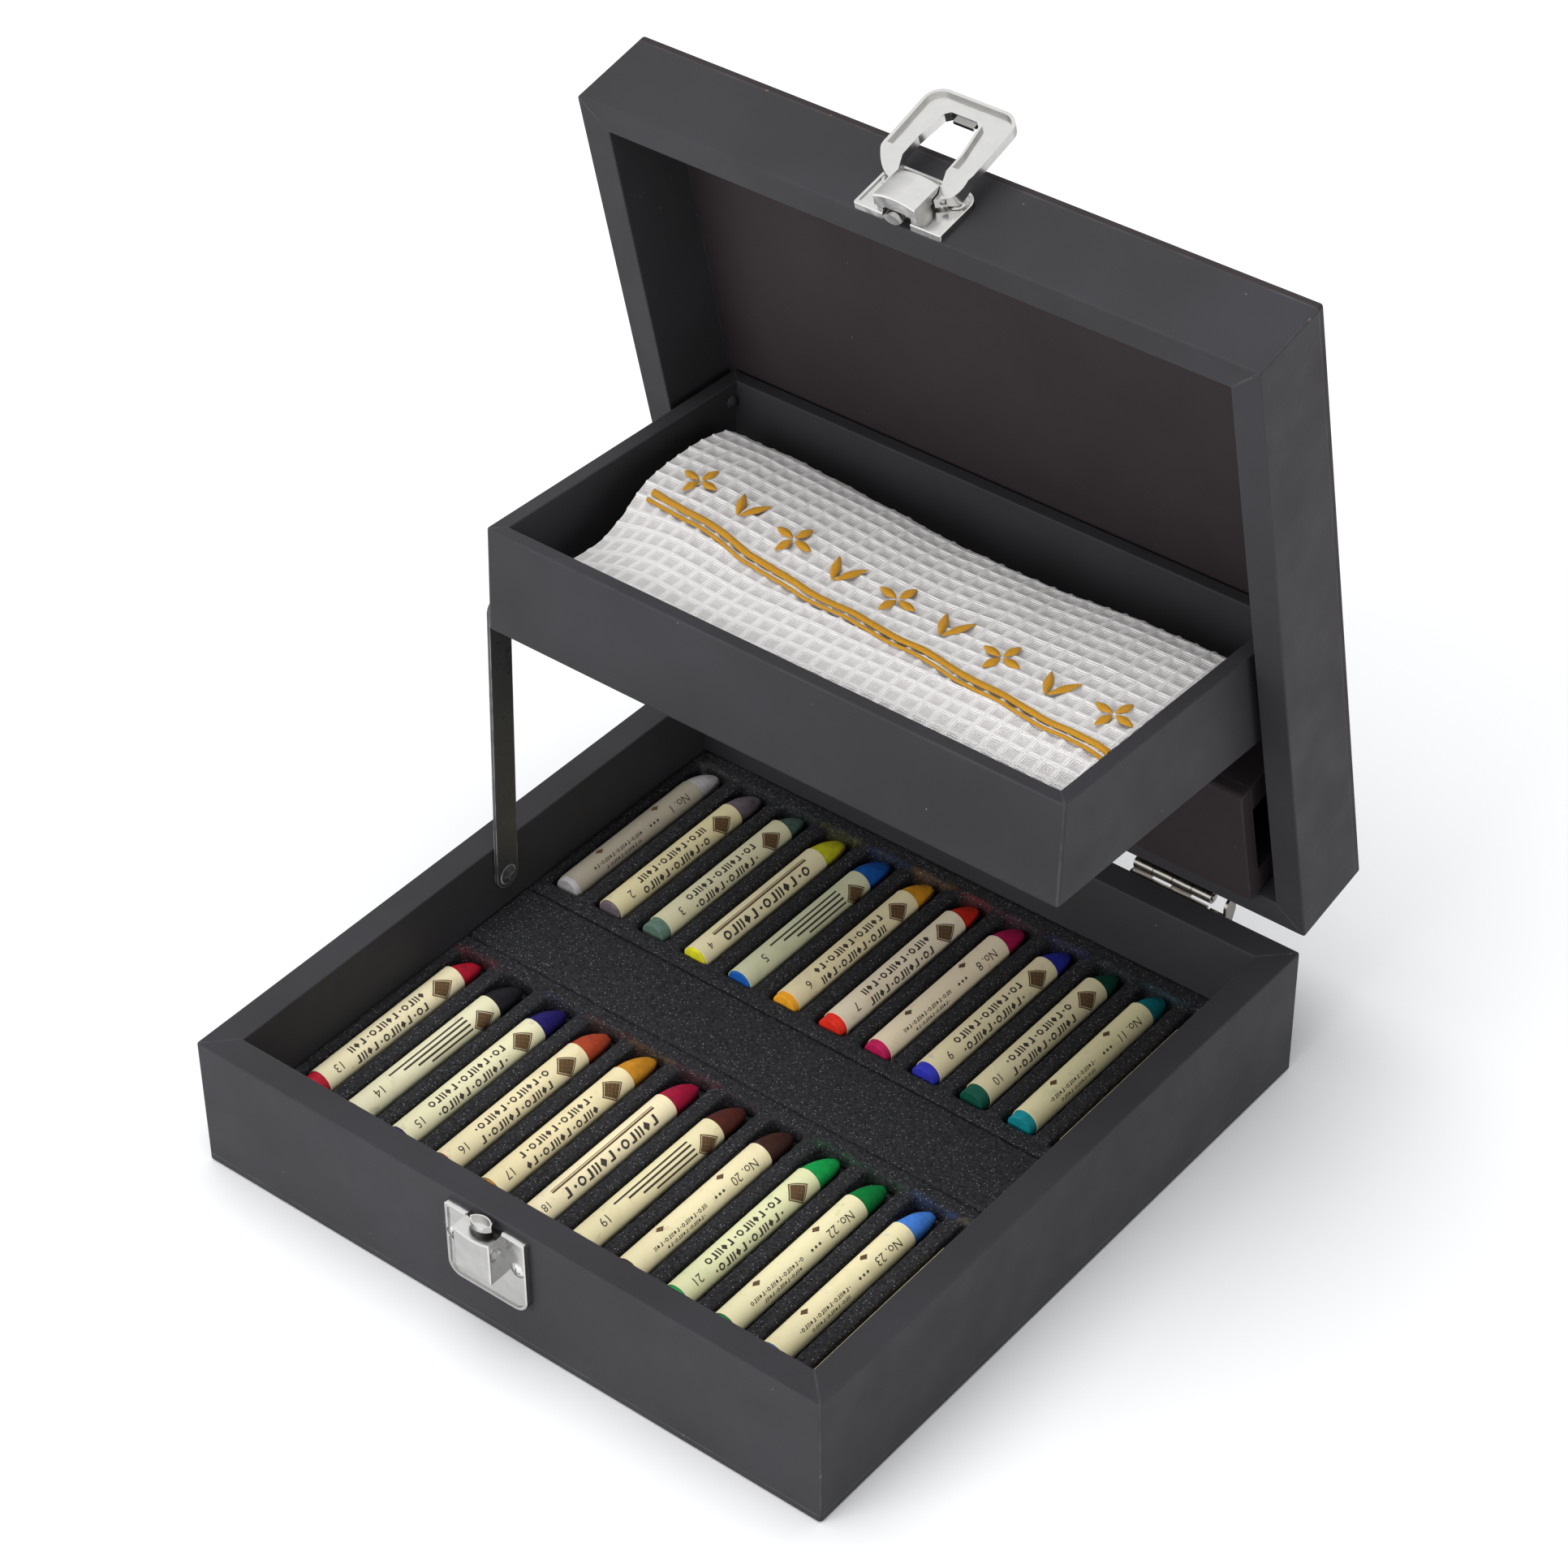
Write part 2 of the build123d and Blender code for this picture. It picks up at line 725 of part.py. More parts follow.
# the bail is drawn flat: x across, second value along its length from the axle
def bail_outline(inset):
    side = bail_width / 2 - inset
    root = latch_block_width / 2 + bail_side_gap
    end = bail_length - inset
    round_end = bail_corner_radius - inset
    middle = round_end * (1 - math.sqrt(0.5))
    right = [
        Line((root, -1.9 + inset), (side - 5.5, 0.2 + inset)),
        ThreePointArc((side - 5.5, 0.2 + inset), (side - 1.3, 3.4 + inset * 0.5), (side, 8.5)),
        Line((side, 8.5), (side, end - round_end)),
        ThreePointArc((side, end - round_end), (side - middle, end - middle),
                      (side - round_end, end)),
    ]
    left = [edge.mirror(Plane.YZ) for edge in right]
    closing = [Line((-root, -1.9 + inset), (root, -1.9 + inset)),
               Line((side - round_end, end), (-side + round_end, end))]
    return make_face(Wire(right + left + closing))


def bail_window(grow):
    low = latch_block_width / 2 + window_side_room + grow
    top = window_top_width / 2 + grow
    root = latch_block_width / 2 + bail_side_gap
    end = window_top + grow
    points = [(root, -4 - grow), (root, 2.1 - grow), (low, 4.2), (low, window_straight),
              (top, end - 1.5), (top - 1.5, end)]
    mirrored = [(-x, y) for x, y in reversed(points)]
    return make_face(Polyline(*(points + mirrored), close=True))


# low and high edge of the bail seen from the side, with its crank near the axle
def bail_band(depth):
    half = bail_thickness / 2
    far = bail_length + 2
    edge = [(-4, -half), (2.0, -half), (6.5, bail_crank - half), (far, bail_crank - half),
            (far, bail_crank + half), (5.5, bail_crank + half), (0.6, half), (-4, half)]
    side = Plane.YZ * make_face(Polyline(*edge, close=True))
    return Pos(-depth, 0, 0) * extrude(side, 2 * depth, dir=(1, 0, 0))


def bail():
    depth = 20.0
    plan = bail_outline(0) - bail_window(0)
    loop = Pos(0, 0, -depth / 2) * extrude(plan, depth) & bail_band(depth)
    low_face = bail_crank - bail_thickness / 2
    dish = bail_outline(bail_dish_rim) - bail_window(bail_dish_rim * 0.7)
    dish_low = bail_crank + bail_thickness / 2 - bail_dish_depth
    dish = Pos(0, 0, dish_low) * extrude(dish, bail_dish_depth + 1)
    loop -= dish & block(-depth, depth, 7.5, bail_length + 1, 0, depth)
    loop += block(-bail_hook_width / 2, bail_hook_width / 2, window_top - bail_hook_reach,
                  window_top + 0.2, low_face, low_face + bail_hook_reach)
    reach = latch_block_width / 2 + bail_side_gap + 2.7
    loop -= rod_x(axle_radius + 0.1, -reach, reach, 0, 0)
    upright = Pos(latch_x, axle_y, axle_z) * Rot(90, 0, 0) * loop
    return upright.rotate(Axis((0, axle_y, axle_z), (1, 0, 0)), bail_lean)


# catch on the base front
def catch_plate():
    plate = dished_plate(catch_width / 2, catch_low_z, catch_top_z, catch_thickness,
                         latch_corner_radius, False)
    high = catch_notch_width / 2 + catch_notch_slant
    low = catch_notch_width / 2 - catch_notch_slant
    floor_z = catch_top_z - catch_notch_depth
    notch = Polygon((latch_x - low, floor_z), (latch_x + low, floor_z),
                    (latch_x + high, catch_top_z + 1), (latch_x - high, catch_top_z + 1),
                    align=None)
    plate -= prism_y(notch, catch_face_y - 1, -half_depth + 1)
    seat_y = catch_face_y + latch_pan_depth
    half_room = catch_block_width / 2 + catch_block_room
    plate -= block(latch_x - half_room, latch_x + half_room, catch_face_y - 1, seat_y,
                   catch_block_low_z, catch_top_z + 1)
    relief = Cylinder(plate_screw_head_radius + screw_head_room, 2 * catch_thickness)
    for x, z in catch_screw_places():
        plate -= plate_screw_hole(x, z)
        plate -= Pos(x, seat_y - catch_thickness, z) * Rot(90, 0, 0) * relief
    return plate


def catch_block():
    half = catch_block_width / 2
    seat_y = catch_face_y + latch_pan_depth
    front_y = seat_y - catch_block_rise
    low = catch_block_low_z
    high = catch_block_top_z
    outline = [
        Line((latch_x - half, low), (latch_x + half, low)),
        Line((latch_x + half, low), (latch_x + half, high)),
        ThreePointArc((latch_x + half, high), (latch_x, high - catch_block_dip),
                      (latch_x - half, high)),
        Line((latch_x - half, high), (latch_x - half, low)),
    ]
    body = prism_y(make_face(Wire(outline)), front_y, seat_y)
    front = body.edges().filter_by(lambda e: abs(e.center().Y - front_y) < 1e-3)
    body = fillet(front, 0.5)
    body -= block(latch_x - half + catch_shell, latch_x + half - catch_shell,
                  front_y + catch_shell, seat_y + 1, low - 1, low + catch_lip_depth)
    for side in (-1, 1):
        cheek = latch_x + side * half
        ring = rod_x(2.3, cheek - 0.5, cheek + 0.5, front_y + 2.7, high - 5.5)
        ring -= rod_x(1.5, cheek - 1, cheek + 1, front_y + 2.3, high - 5.2)
        body -= ring
    return body


# cup in the plate's notch that takes the lid's locating pin
def catch_socket():
    top = base_height - socket_rim_room
    low = catch_block_top_z + socket_block_gap
    bore = pin_half_width + socket_room
    outer = lens(bore + socket_wall, pin_thickness + 2 * (socket_room + socket_wall), pin_y,
                 low, top)
    inner = lens(bore, pin_thickness + 2 * socket_room, pin_y, low + socket_floor, top + 1)
    lip = block(latch_x - 2.4, latch_x + 2.4, pin_y - 0.5, -half_depth, low, low + socket_floor)
    return outer - inner + lip


def catch_screws():
    seat_y = catch_face_y + latch_pan_depth
    return group([plate_screw(x, seat_y, z) for x, z in catch_screw_places()])


# lift arm
def lift_arm():
    strip = Pos(0, arm_length / 2) * Rot(0, 0, 90) * SlotCenterToCenter(arm_length, arm_width)
    strip -= Circle(arm_shank_radius + running_clearance)
    strip -= Pos(0, arm_length) * Circle(arm_shank_radius + 0.05)
    face = Plane.YZ * strip
    arm = extrude(face, arm_thickness, dir=(1, 0, 0))
    arm = Pos(arm_outer_x, arm_pivot_y, arm_pivot_z) * arm
    return on_raised_arm(arm)


def arm_spacer():
    return tube_x(arm_spacer_radius, arm_shank_radius + 0.1, -inner_half_width,
                  -inner_half_width + arm_spacer_thickness, arm_pivot_y, arm_pivot_z)


def arm_base_screw():
    screw = pan_screw(arm_head_radius, arm_head_height, arm_shank_radius, arm_screw_length)
    return Pos(arm_inner_x + arm_gap, arm_pivot_y, arm_pivot_z) * Rot(0, 90, 0) * screw


def arm_eye_rivet():
    eye_z = arm_pivot_z + arm_length
    head = rod_x(eye_rivet_radius, arm_inner_x, arm_inner_x + arm_head_height,
                 arm_pivot_y, eye_z)
    head = fillet(head.edges().group_by(Axis.X)[-1], arm_head_height * 0.6)
    rivet = head + rod_x(arm_shank_radius, arm_outer_x, arm_inner_x + 0.1, arm_pivot_y, eye_z)
    return on_raised_arm(rivet)


# tray
def tray_walls():
    middle_y = (tray_front_y + tray_rear_y) / 2
    half_y = (tray_rear_y - tray_front_y) / 2
    ring = open_ring(tray_half_width, half_y, tray_wall, tray_low_z, tray_top_z,
                     tray_corner_radius, tray_low_radius)
    ring = fillet(ring.edges().group_by(Axis.Z)[-1], tray_rim_radius)
    walls = mitred_walls(ring, tray_half_width, half_y, tray_wall, tray_low_z, tray_top_z)
    front, rear, left, right = [Pos(0, middle_y, 0) * piece for piece in walls]
    bore = pivot_shank_radius + running_clearance
    reach = tray_half_width + 1
    left -= rod_x(bore, -reach, -tray_inner_half_width + 1, tray_pivot_y, tray_pivot_z)
    right -= rod_x(bore, tray_inner_half_width - 1, reach, tray_pivot_y, tray_pivot_z)
    eye_y, eye_z = arm_eye_on_tray()
    left -= rod_x(stud_radius + 0.05, -reach, -tray_half_width + stud_length, eye_y, eye_z)
    return [on_raised_tray(piece) for piece in (front, rear, left, right)]


def tray_floor_panel():
    inner = tray_inner_half_width
    panel = block(-inner, inner, tray_front_y + tray_wall, tray_rear_y - tray_wall,
                  tray_low_z, tray_floor_z)
    return on_raised_tray(panel)


def tray_pivot_screws():
    screws = []
    for side in (-1, 1):
        head_x = side * (tray_inner_half_width - running_clearance)
        length = inner_half_width + pivot_screw_depth - tray_inner_half_width
        screw = pan_screw(pivot_head_radius, pivot_head_height, pivot_shank_radius, length)
        turn = Rot(0, -90, 0) if side > 0 else Rot(0, 90, 0)
        screws.append(Pos(head_x, tray_pivot_y, tray_pivot_z) * turn * screw)
    return on_open_lid(group(screws))


def tray_pivot_washers():
    washers = []
    for side in (-1, 1):
        ends = sorted((side * inner_half_width,
                       side * (inner_half_width - pivot_washer_thickness)))
        washers.append(tube_x(pivot_washer_radius, pivot_shank_radius + 0.1, ends[0], ends[1],
                              tray_pivot_y, tray_pivot_z))
    return on_open_lid(group(washers))


def tray_arm_stud():
    eye_y, eye_z = arm_eye_on_tray()
    stud = rod_x(stud_radius, -tray_half_width, -tray_half_width + stud_length, eye_y, eye_z)
    return on_raised_tray(stud)


# section of the folded towel across the tray: flat below, rounded front and rear rolls,
# and a low crown between them
def towel_section(x, crest_drop, front_in, rear_in):
    front_y = tray_front_y + tray_wall + towel_clearance + front_in
    rear_y = tray_rear_y - tray_wall - towel_rear_room - rear_in
    low_z = tray_floor_z
    crest_z = tray_top_z - towel_crest_drop - crest_drop
    front_round = towel_edge_round
    rear_round = towel_rear_round
    shoulder_z = crest_z - 1.6
    corner = math.sqrt(0.5)
    f_in = front_y + front_round
    r_in = rear_y - rear_round
    outline = [
        Line((front_y, low_z), (rear_y, low_z)),
        Line((rear_y, low_z), (rear_y, shoulder_z - rear_round)),
        ThreePointArc((rear_y, shoulder_z - rear_round),
                      (r_in + rear_round * corner, shoulder_z - rear_round * (1 - corner)),
                      (r_in, shoulder_z)),
        ThreePointArc((r_in, shoulder_z), ((f_in + r_in) / 2, crest_z), (f_in, shoulder_z)),
        ThreePointArc((f_in, shoulder_z),
                      (f_in - front_round * corner, shoulder_z - front_round * (1 - corner)),
                      (front_y, shoulder_z - front_round)),
        Line((front_y, shoulder_z - front_round), (front_y, low_z)),
    ]
    return Pos(x, 0, 0) * (Plane.YZ * make_face(Wire(outline)))


def towel():
    left_x = -tray_inner_half_width + towel_left_room
    right_x = tray_inner_half_width - towel_clearance
    reach = right_x - left_x
    stations = [(0.0, 1.0, 5.0, 6.0), (0.06, 0.42, 2.1, 2.4), (0.18, 0.14, 1.0, 0.8),
                (0.4, 0.03, 0.7, 0.4), (0.7, 0.0, 0.6, 0.8), (1.0, -0.05, 0.6, 0.4)]
    sections = [towel_section(left_x + share * reach, drop * towel_end_drop, front_in, rear_in)
                for share, drop, front_in, rear_in in stations]
    return on_raised_tray(loft(sections))


base_front, base_rear, base_left, base_right = base_walls()
lid_front, lid_rear, lid_left, lid_right = lid_walls()
tray_front, tray_rear, tray_left, tray_right = tray_walls()

pieces = {
    "base_front_wall": base_front,
    "base_rear_wall": base_rear,
    "base_left_wall": base_left,
    "base_right_wall": base_right,
    "base_bottom_panel": base_floor(),
    "foam_base_layer": foam_base_layer(),
    "foam_front_block": foam_front_block(),
    "foam_middle_band": foam_middle_band(),
    "foam_rear_block": foam_rear_block(),
    "rear_row_sticks": stick_row(rear_slot_y, rear_tip_gaps),
    "rear_row_labels": label_row(rear_slot_y, rear_tip_gaps, rear_bare_tips),
    "front_row_sticks": stick_row(front_slot_y, front_tip_gaps),
    "front_row_labels": label_row(front_slot_y, front_tip_gaps, front_bare_tips),
    "lid_front_wall": on_open_lid(lid_front),
    "lid_rear_wall": on_open_lid(lid_rear),
    "lid_left_wall": on_open_lid(lid_left),
    "lid_right_wall": on_open_lid(lid_right),
    "lid_top_panel": on_open_lid(lid_top()),
    "lid_channel_web": on_open_lid(channel_web_board()),
    "lid_channel_front_batten": on_open_lid(channel_batten_at(channel_front_y)),
    "lid_channel_rear_batten": on_open_lid(channel_batten_at(channel_rear_y - channel_batten)),
    "hinge_base_leaves": hinge_leaves(-1),
    "hinge_lid_leaves": on_open_lid(hinge_leaves(1)),
    "hinge_pins": hinge_pins(),
    "hinge_base_screws": hinge_screws(base_leaf_screw_z),
    "hinge_lid_screws": on_open_lid(hinge_screws(lid_leaf_screw_z)),
    "lid_stops": lid_stops(),
    "latch_plate": on_open_lid(latch_plate()),
    "latch_block": on_open_lid(latch_block()),
    "latch_locating_pin": on_open_lid(latch_locating_pin()),
    "latch_screws": on_open_lid(latch_screws()),
    "latch_axle": on_open_lid(latch_axle()),
    "latch_bail": on_open_lid(bail()),
    "catch_plate": catch_plate(),
    "catch_block": catch_block(),
    "catch_socket": catch_socket(),
    "catch_screws": catch_screws(),
    "lift_arm": lift_arm(),
    "arm_spacer": arm_spacer(),
    "arm_base_screw": arm_base_screw(),
    "arm_eye_rivet": arm_eye_rivet(),
    "tray_front_wall": tray_front,
    "tray_rear_wall": tray_rear,
    "tray_left_wall": tray_left,
    "tray_right_wall": tray_right,
    "tray_bottom_panel": tray_floor_panel(),
    "tray_pivot_screws": tray_pivot_screws(),
    "tray_pivot_washers": tray_pivot_washers(),
    "tray_arm_stud": tray_arm_stud(),
    "towel": towel(),
}

for name, piece in pieces.items():
    export_step(piece, f"parts/{name}.step")
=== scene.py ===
import bisect
import json
import math

import bmesh
import bpy
from mathutils import Matrix, Vector, noise


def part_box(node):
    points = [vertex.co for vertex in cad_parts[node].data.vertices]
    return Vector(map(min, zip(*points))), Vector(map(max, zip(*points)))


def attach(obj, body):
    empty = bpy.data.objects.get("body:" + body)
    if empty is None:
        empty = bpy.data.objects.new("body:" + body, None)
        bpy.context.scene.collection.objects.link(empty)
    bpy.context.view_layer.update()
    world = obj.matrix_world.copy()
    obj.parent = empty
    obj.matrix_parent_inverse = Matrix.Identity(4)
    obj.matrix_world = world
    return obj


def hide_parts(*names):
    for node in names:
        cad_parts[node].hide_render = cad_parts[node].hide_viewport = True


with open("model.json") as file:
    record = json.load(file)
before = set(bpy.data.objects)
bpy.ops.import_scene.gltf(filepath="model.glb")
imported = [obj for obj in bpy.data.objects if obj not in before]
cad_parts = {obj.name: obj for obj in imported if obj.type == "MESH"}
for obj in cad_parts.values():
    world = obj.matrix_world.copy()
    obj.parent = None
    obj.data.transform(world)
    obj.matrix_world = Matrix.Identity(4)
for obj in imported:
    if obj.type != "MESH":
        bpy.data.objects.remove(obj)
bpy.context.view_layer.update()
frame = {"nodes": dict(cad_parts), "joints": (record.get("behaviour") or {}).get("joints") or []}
nodes = frame["nodes"]
joints = {joint["name"]: joint for joint in frame["joints"]}
noise.seed_set(7)       # else the foam's skin differs from run to run
print("frame loaded:", len(nodes), "nodes")


def addObject(name, mesh):
    piece = bpy.data.objects.new(name, mesh)
    bpy.context.scene.collection.objects.link(piece)
    return piece


def addNode(tree, kind, inputs=None, **settings):
    node = tree.nodes.new(kind)
    for key, value in settings.items():
        setattr(node, key, value)
    for key, value in (inputs or {}).items():
        if isinstance(value, bpy.types.NodeSocket):
            tree.links.new(value, node.inputs[key])
        else:
            node.inputs[key].default_value = value
    return node


def startMaterial(name, roughness, metallic=0.0, specular=0.5):
    material = bpy.data.materials.new(name)
    material.use_nodes = True
    tree = material.node_tree
    shader = tree.nodes["Principled BSDF"]
    shader.inputs["Roughness"].default_value = roughness
    shader.inputs["Metallic"].default_value = metallic
    shader.inputs["Specular IOR Level"].default_value = specular
    return material, tree, shader


def placeOf(tree):
    return addNode(tree, "ShaderNodeTexCoord").outputs["Object"]


def noiseOf(tree, place, size, detail=3.0, rough=0.55):
    inputs = {"Vector": place, "Scale": 1.0 / size, "Detail": detail, "Roughness": rough}
    return addNode(tree, "ShaderNodeTexNoise", inputs).outputs[0]


def maths(tree, operation, first, second=0.5, clamp=False):
    node = addNode(tree, "ShaderNodeMath", {0: first, 1: second}, operation=operation,
                   use_clamp=clamp)
    return node.outputs[0]


def spread(tree, value, low, high, outLow=0.0, outHigh=1.0):
    inputs = {"Value": value, "From Min": low, "From Max": high,
              "To Min": outLow, "To Max": outHigh}
    return addNode(tree, "ShaderNodeMapRange", inputs, clamp=True).outputs[0]


def mixed(tree, share, first, second, blend="MIX"):
    node = addNode(tree, "ShaderNodeMix", {0: share, 6: first, 7: second},
                   data_type="RGBA", blend_type=blend)
    return node.outputs[2]


def bumped(tree, shader, height, distance, strength=1.0, under=None):
    inputs = {"Height": height, "Distance": distance, "Strength": strength}
    if under is not None:
        inputs["Normal"] = under
    node = addNode(tree, "ShaderNodeBump", inputs)
    tree.links.new(node.outputs[0], shader.inputs["Normal"])
    return node.outputs[0]


# share of the surface next to a sharp edge, from the difference that a small bevel makes
def edgeShare(tree, radius, low=0.02, high=0.2):
    bevel = addNode(tree, "ShaderNodeBevel", {"Radius": radius}, samples=6)
    plain = addNode(tree, "ShaderNodeNewGeometry")
    dot = addNode(tree, "ShaderNodeVectorMath",
                  {0: bevel.outputs[0], 1: plain.outputs["Normal"]}, operation="DOT_PRODUCT")
    away = maths(tree, "SUBTRACT", 1.0, dot.outputs["Value"])
    return spread(tree, away, low, high)


# small round spots scattered in cells of the given size
def spots(tree, place, cell, radius, kept):
    cells = addNode(tree, "ShaderNodeTexVoronoi", {"Vector": place, "Scale": 1.0 / cell})
    near = maths(tree, "LESS_THAN", cells.outputs["Distance"], radius / cell)
    parts = addNode(tree, "ShaderNodeSeparateColor", {0: cells.outputs["Color"]})
    chosen = maths(tree, "LESS_THAN", parts.outputs[0], kept)
    return maths(tree, "MULTIPLY", near, chosen)


def colourOf(code):
    parts = [int(code[i:i + 2], 16) / 255 for i in (0, 2, 4)]
    linear = [p / 12.92 if p <= 0.04045 else ((p + 0.055) / 1.055) ** 2.4 for p in parts]
    return (*linear, 1.0)


# one colour for each place along X, in equal steps between two ends
def stepsAlongX(tree, place, codes, lowX, highX):
    parts = addNode(tree, "ShaderNodeSeparateXYZ", {0: place})
    share = spread(tree, parts.outputs["X"], lowX, highX)
    ramp = addNode(tree, "ShaderNodeValToRGB", {0: share})
    ramp.color_ramp.interpolation = "CONSTANT"
    stops = ramp.color_ramp.elements
    while len(stops) < len(codes):
        stops.new(0.5)
    for number, code in enumerate(codes):
        stops[number].position = number / len(codes)
        stops[number].color = colourOf(code)
    return ramp.outputs[0]


def finishNodes(material, *names):
    for name in names:
        data = nodes[name].data
        data.materials.clear()
        data.materials.append(material)


# the camera, at the photo's angle; angles in degrees, lens and sensor in mm
view = {
    "place": (0.621542, -0.754524, 0.924370),
    "azimuth": 38.904,
    "elevation": 39.026,
    "roll": -0.589,
    "lens": 98.57,
    "sensor": 36.0,
}


def makeCamera():
    azimuth, elevation = math.radians(view["azimuth"]), math.radians(view["elevation"])
    roll = math.radians(view["roll"])
    forward = Vector((-math.sin(azimuth) * math.cos(elevation),
                      math.cos(azimuth) * math.cos(elevation), -math.sin(elevation)))
    right = Vector((math.cos(azimuth), math.sin(azimuth), 0))
    up = right.cross(forward)
    across = right * math.cos(roll) + up * math.sin(roll)
    upright = up * math.cos(roll) - right * math.sin(roll)
    turn = Matrix((across, upright, -forward)).transposed().to_4x4()
    data = bpy.data.cameras.new("camera")
    data.lens = view["lens"]
    data.sensor_width = view["sensor"]
    data.clip_start = 0.05
    camera = addObject("camera", data)
    camera.matrix_world = Matrix.Translation(view["place"]) @ turn
    bpy.context.scene.camera = camera


# each lamp is a square area light that points at the aim
light = {
    "ambient": (0.93, 0.95, 1.0, 1.0),
    "ambientStrength": 0.52,
    "front": {"place": (-0.55, -2.3, 0.80), "size": 2.0, "power": 58.0},
    "right": {"place": (2.1, -0.3, 0.7), "size": 1.3, "power": 12.0},
    "above": {"place": (-0.3, -0.1, 2.3), "size": 2.0, "power": 44.0},
    "aim": (0.0, 0.0, 0.12),
}


def makeLights():
    for name in ("front", "right", "above"):
        lamp = light[name]
        data = bpy.data.lights.new(name + "Light", "AREA")
        data.size = lamp["size"]
        data.energy = lamp["power"]
        piece = addObject(name + "Light", data)
        piece.visible_glossy = False
        toward = Vector(light["aim"]) - Vector(lamp["place"])
        piece.matrix_world = (Matrix.Translation(lamp["place"])
                              @ toward.to_track_quat("-Z", "Y").to_matrix().to_4x4())


# 1 for rays from the camera and for what metal and glass show
def seenRay(tree):
    path = addNode(tree, "ShaderNodeLightPath")
    either = maths(tree, "MAXIMUM", path.outputs["Is Camera Ray"], path.outputs["Is Glossy Ray"])
    return maths(tree, "MAXIMUM", either, path.outputs["Is Transmission Ray"])


def makeWorld():
    world = bpy.data.worlds.new("studio")
    bpy.context.scene.world = world
    world.use_nodes = True
    tree = world.node_tree
    seen = seenRay(tree)
    background = tree.nodes["Background"]
    colour = mixed(tree, seen, light["ambient"], (1, 1, 1, 1))
    strength = spread(tree, seen, 0, 1, light["ambientStrength"], 1.0)
    tree.links.new(colour, background.inputs["Color"])
    tree.links.new(strength, background.inputs["Strength"])


floor = {"reach": 7.0, "colour": (0.77, 0.77, 0.77, 1.0), "glow": 0.55}


def makeFloor():
    mesh = bpy.data.meshes.new("floor")
    reach = floor["reach"]
    corners = [(-reach, -reach, 0), (reach, -reach, 0), (reach, reach, 0), (-reach, reach, 0)]
    mesh.from_pydata(corners, [], [(0, 1, 2, 3)])
    piece = addObject("floor", mesh)
    material, tree, shader = startMaterial("paleFloor", 0.9, specular=0.1)
    shader.inputs["Base Color"].default_value = floor["colour"]
    shader.inputs["Emission Color"].default_value = (1, 1, 1, 1)
    # painted light: the floor glows for camera and glossy rays, not at all next to the object
    # and more the further away it lies
    away = addNode(tree, "ShaderNodeVectorMath", {0: placeOf(tree)}, operation="LENGTH")
    far = spread(tree, away.outputs["Value"], 0.15, 1.1, 0.0, floor["glow"])
    glow = maths(tree, "MULTIPLY", seenRay(tree), far)
    tree.links.new(glow, shader.inputs["Emission Strength"])
    mesh.materials.append(material)


bpy.context.scene.view_settings.view_transform = "Standard"
makeCamera()
makeLights()
makeWorld()
makeFloor()
print("camera, lights and floor made")


lacquer = {
    "colour": (0.036, 0.035, 0.039, 1.0),
    "patch": (0.030, 0.029, 0.031, 1.0),
    "dust": (0.20, 0.20, 0.19, 1.0),
    # lighter colour of the sharp edges: partly rubbed paint, partly a painted highlight
    "edge": (0.085, 0.085, 0.090, 1.0),
    "bareWood": (0.30, 0.20, 0.12, 1.0),
    "dustCell": 0.011,
    "dustRadius": 0.00021,
    "cloudSize": 0.06,
    "edgeWidth": 0.0011,
    "scuffSize": 0.012,
    "chipSize": 0.0035,
    "sheenSize": 0.02,
    "grainSize": 0.0011,
    "grainHeight": 0.00006,
    "edgeWearAndHighlight": 0.9,            # how far the edges are painted lighter, as rubbed paint and a painted highlight, at most
    "hardEdgeWearAndHighlight": 1.6,        # on the tray's front and left walls
    "warmTint": (0.86, 0.72, 0.70, 1.0),
}


def lacquerMaterial(name, edgeWearAndHighlight, tint=(1, 1, 1, 1)):
    material, tree, shader = startMaterial(name, 0.55, specular=0.11)
    place = placeOf(tree)
    cloud = spread(tree, noiseOf(tree, place, lacquer["cloudSize"]), 0.35, 0.65)
    colour = mixed(tree, cloud, lacquer["colour"], lacquer["patch"])
    dust = spots(tree, place, lacquer["dustCell"], lacquer["dustRadius"], 0.75)
    colour = mixed(tree, dust, colour, lacquer["dust"])
    # lighter sharp edges: partly rubbed paint, partly a painted highlight along the edges
    edge = edgeShare(tree, lacquer["edgeWidth"])
    scuffed = spread(tree, noiseOf(tree, place, lacquer["scuffSize"]), 0.42, 0.68)
    wornAndHighlit = maths(tree, "MULTIPLY", edge, spread(tree, scuffed, 0, 1, 0.25, edgeWearAndHighlight))
    colour = mixed(tree, wornAndHighlit, colour, lacquer["edge"])
    chipPlace = spread(tree, noiseOf(tree, place, lacquer["chipSize"], 1.0), 0.71, 0.74)
    chip = maths(tree, "MULTIPLY", spread(tree, edge, 0.5, 0.8), chipPlace)
    colour = mixed(tree, chip, colour, lacquer["bareWood"])
    colour = mixed(tree, 1.0, colour, tint, "MULTIPLY")
    tree.links.new(colour, shader.inputs["Base Color"])
    sheen = noiseOf(tree, place, lacquer["sheenSize"], 5.0)
    tree.links.new(spread(tree, sheen, 0.3, 0.7, 0.46, 0.62), shader.inputs["Roughness"])
    grain = noiseOf(tree, place, lacquer["grainSize"], 4.0)
    bumped(tree, shader, grain, lacquer["grainHeight"], 0.6)
    return material


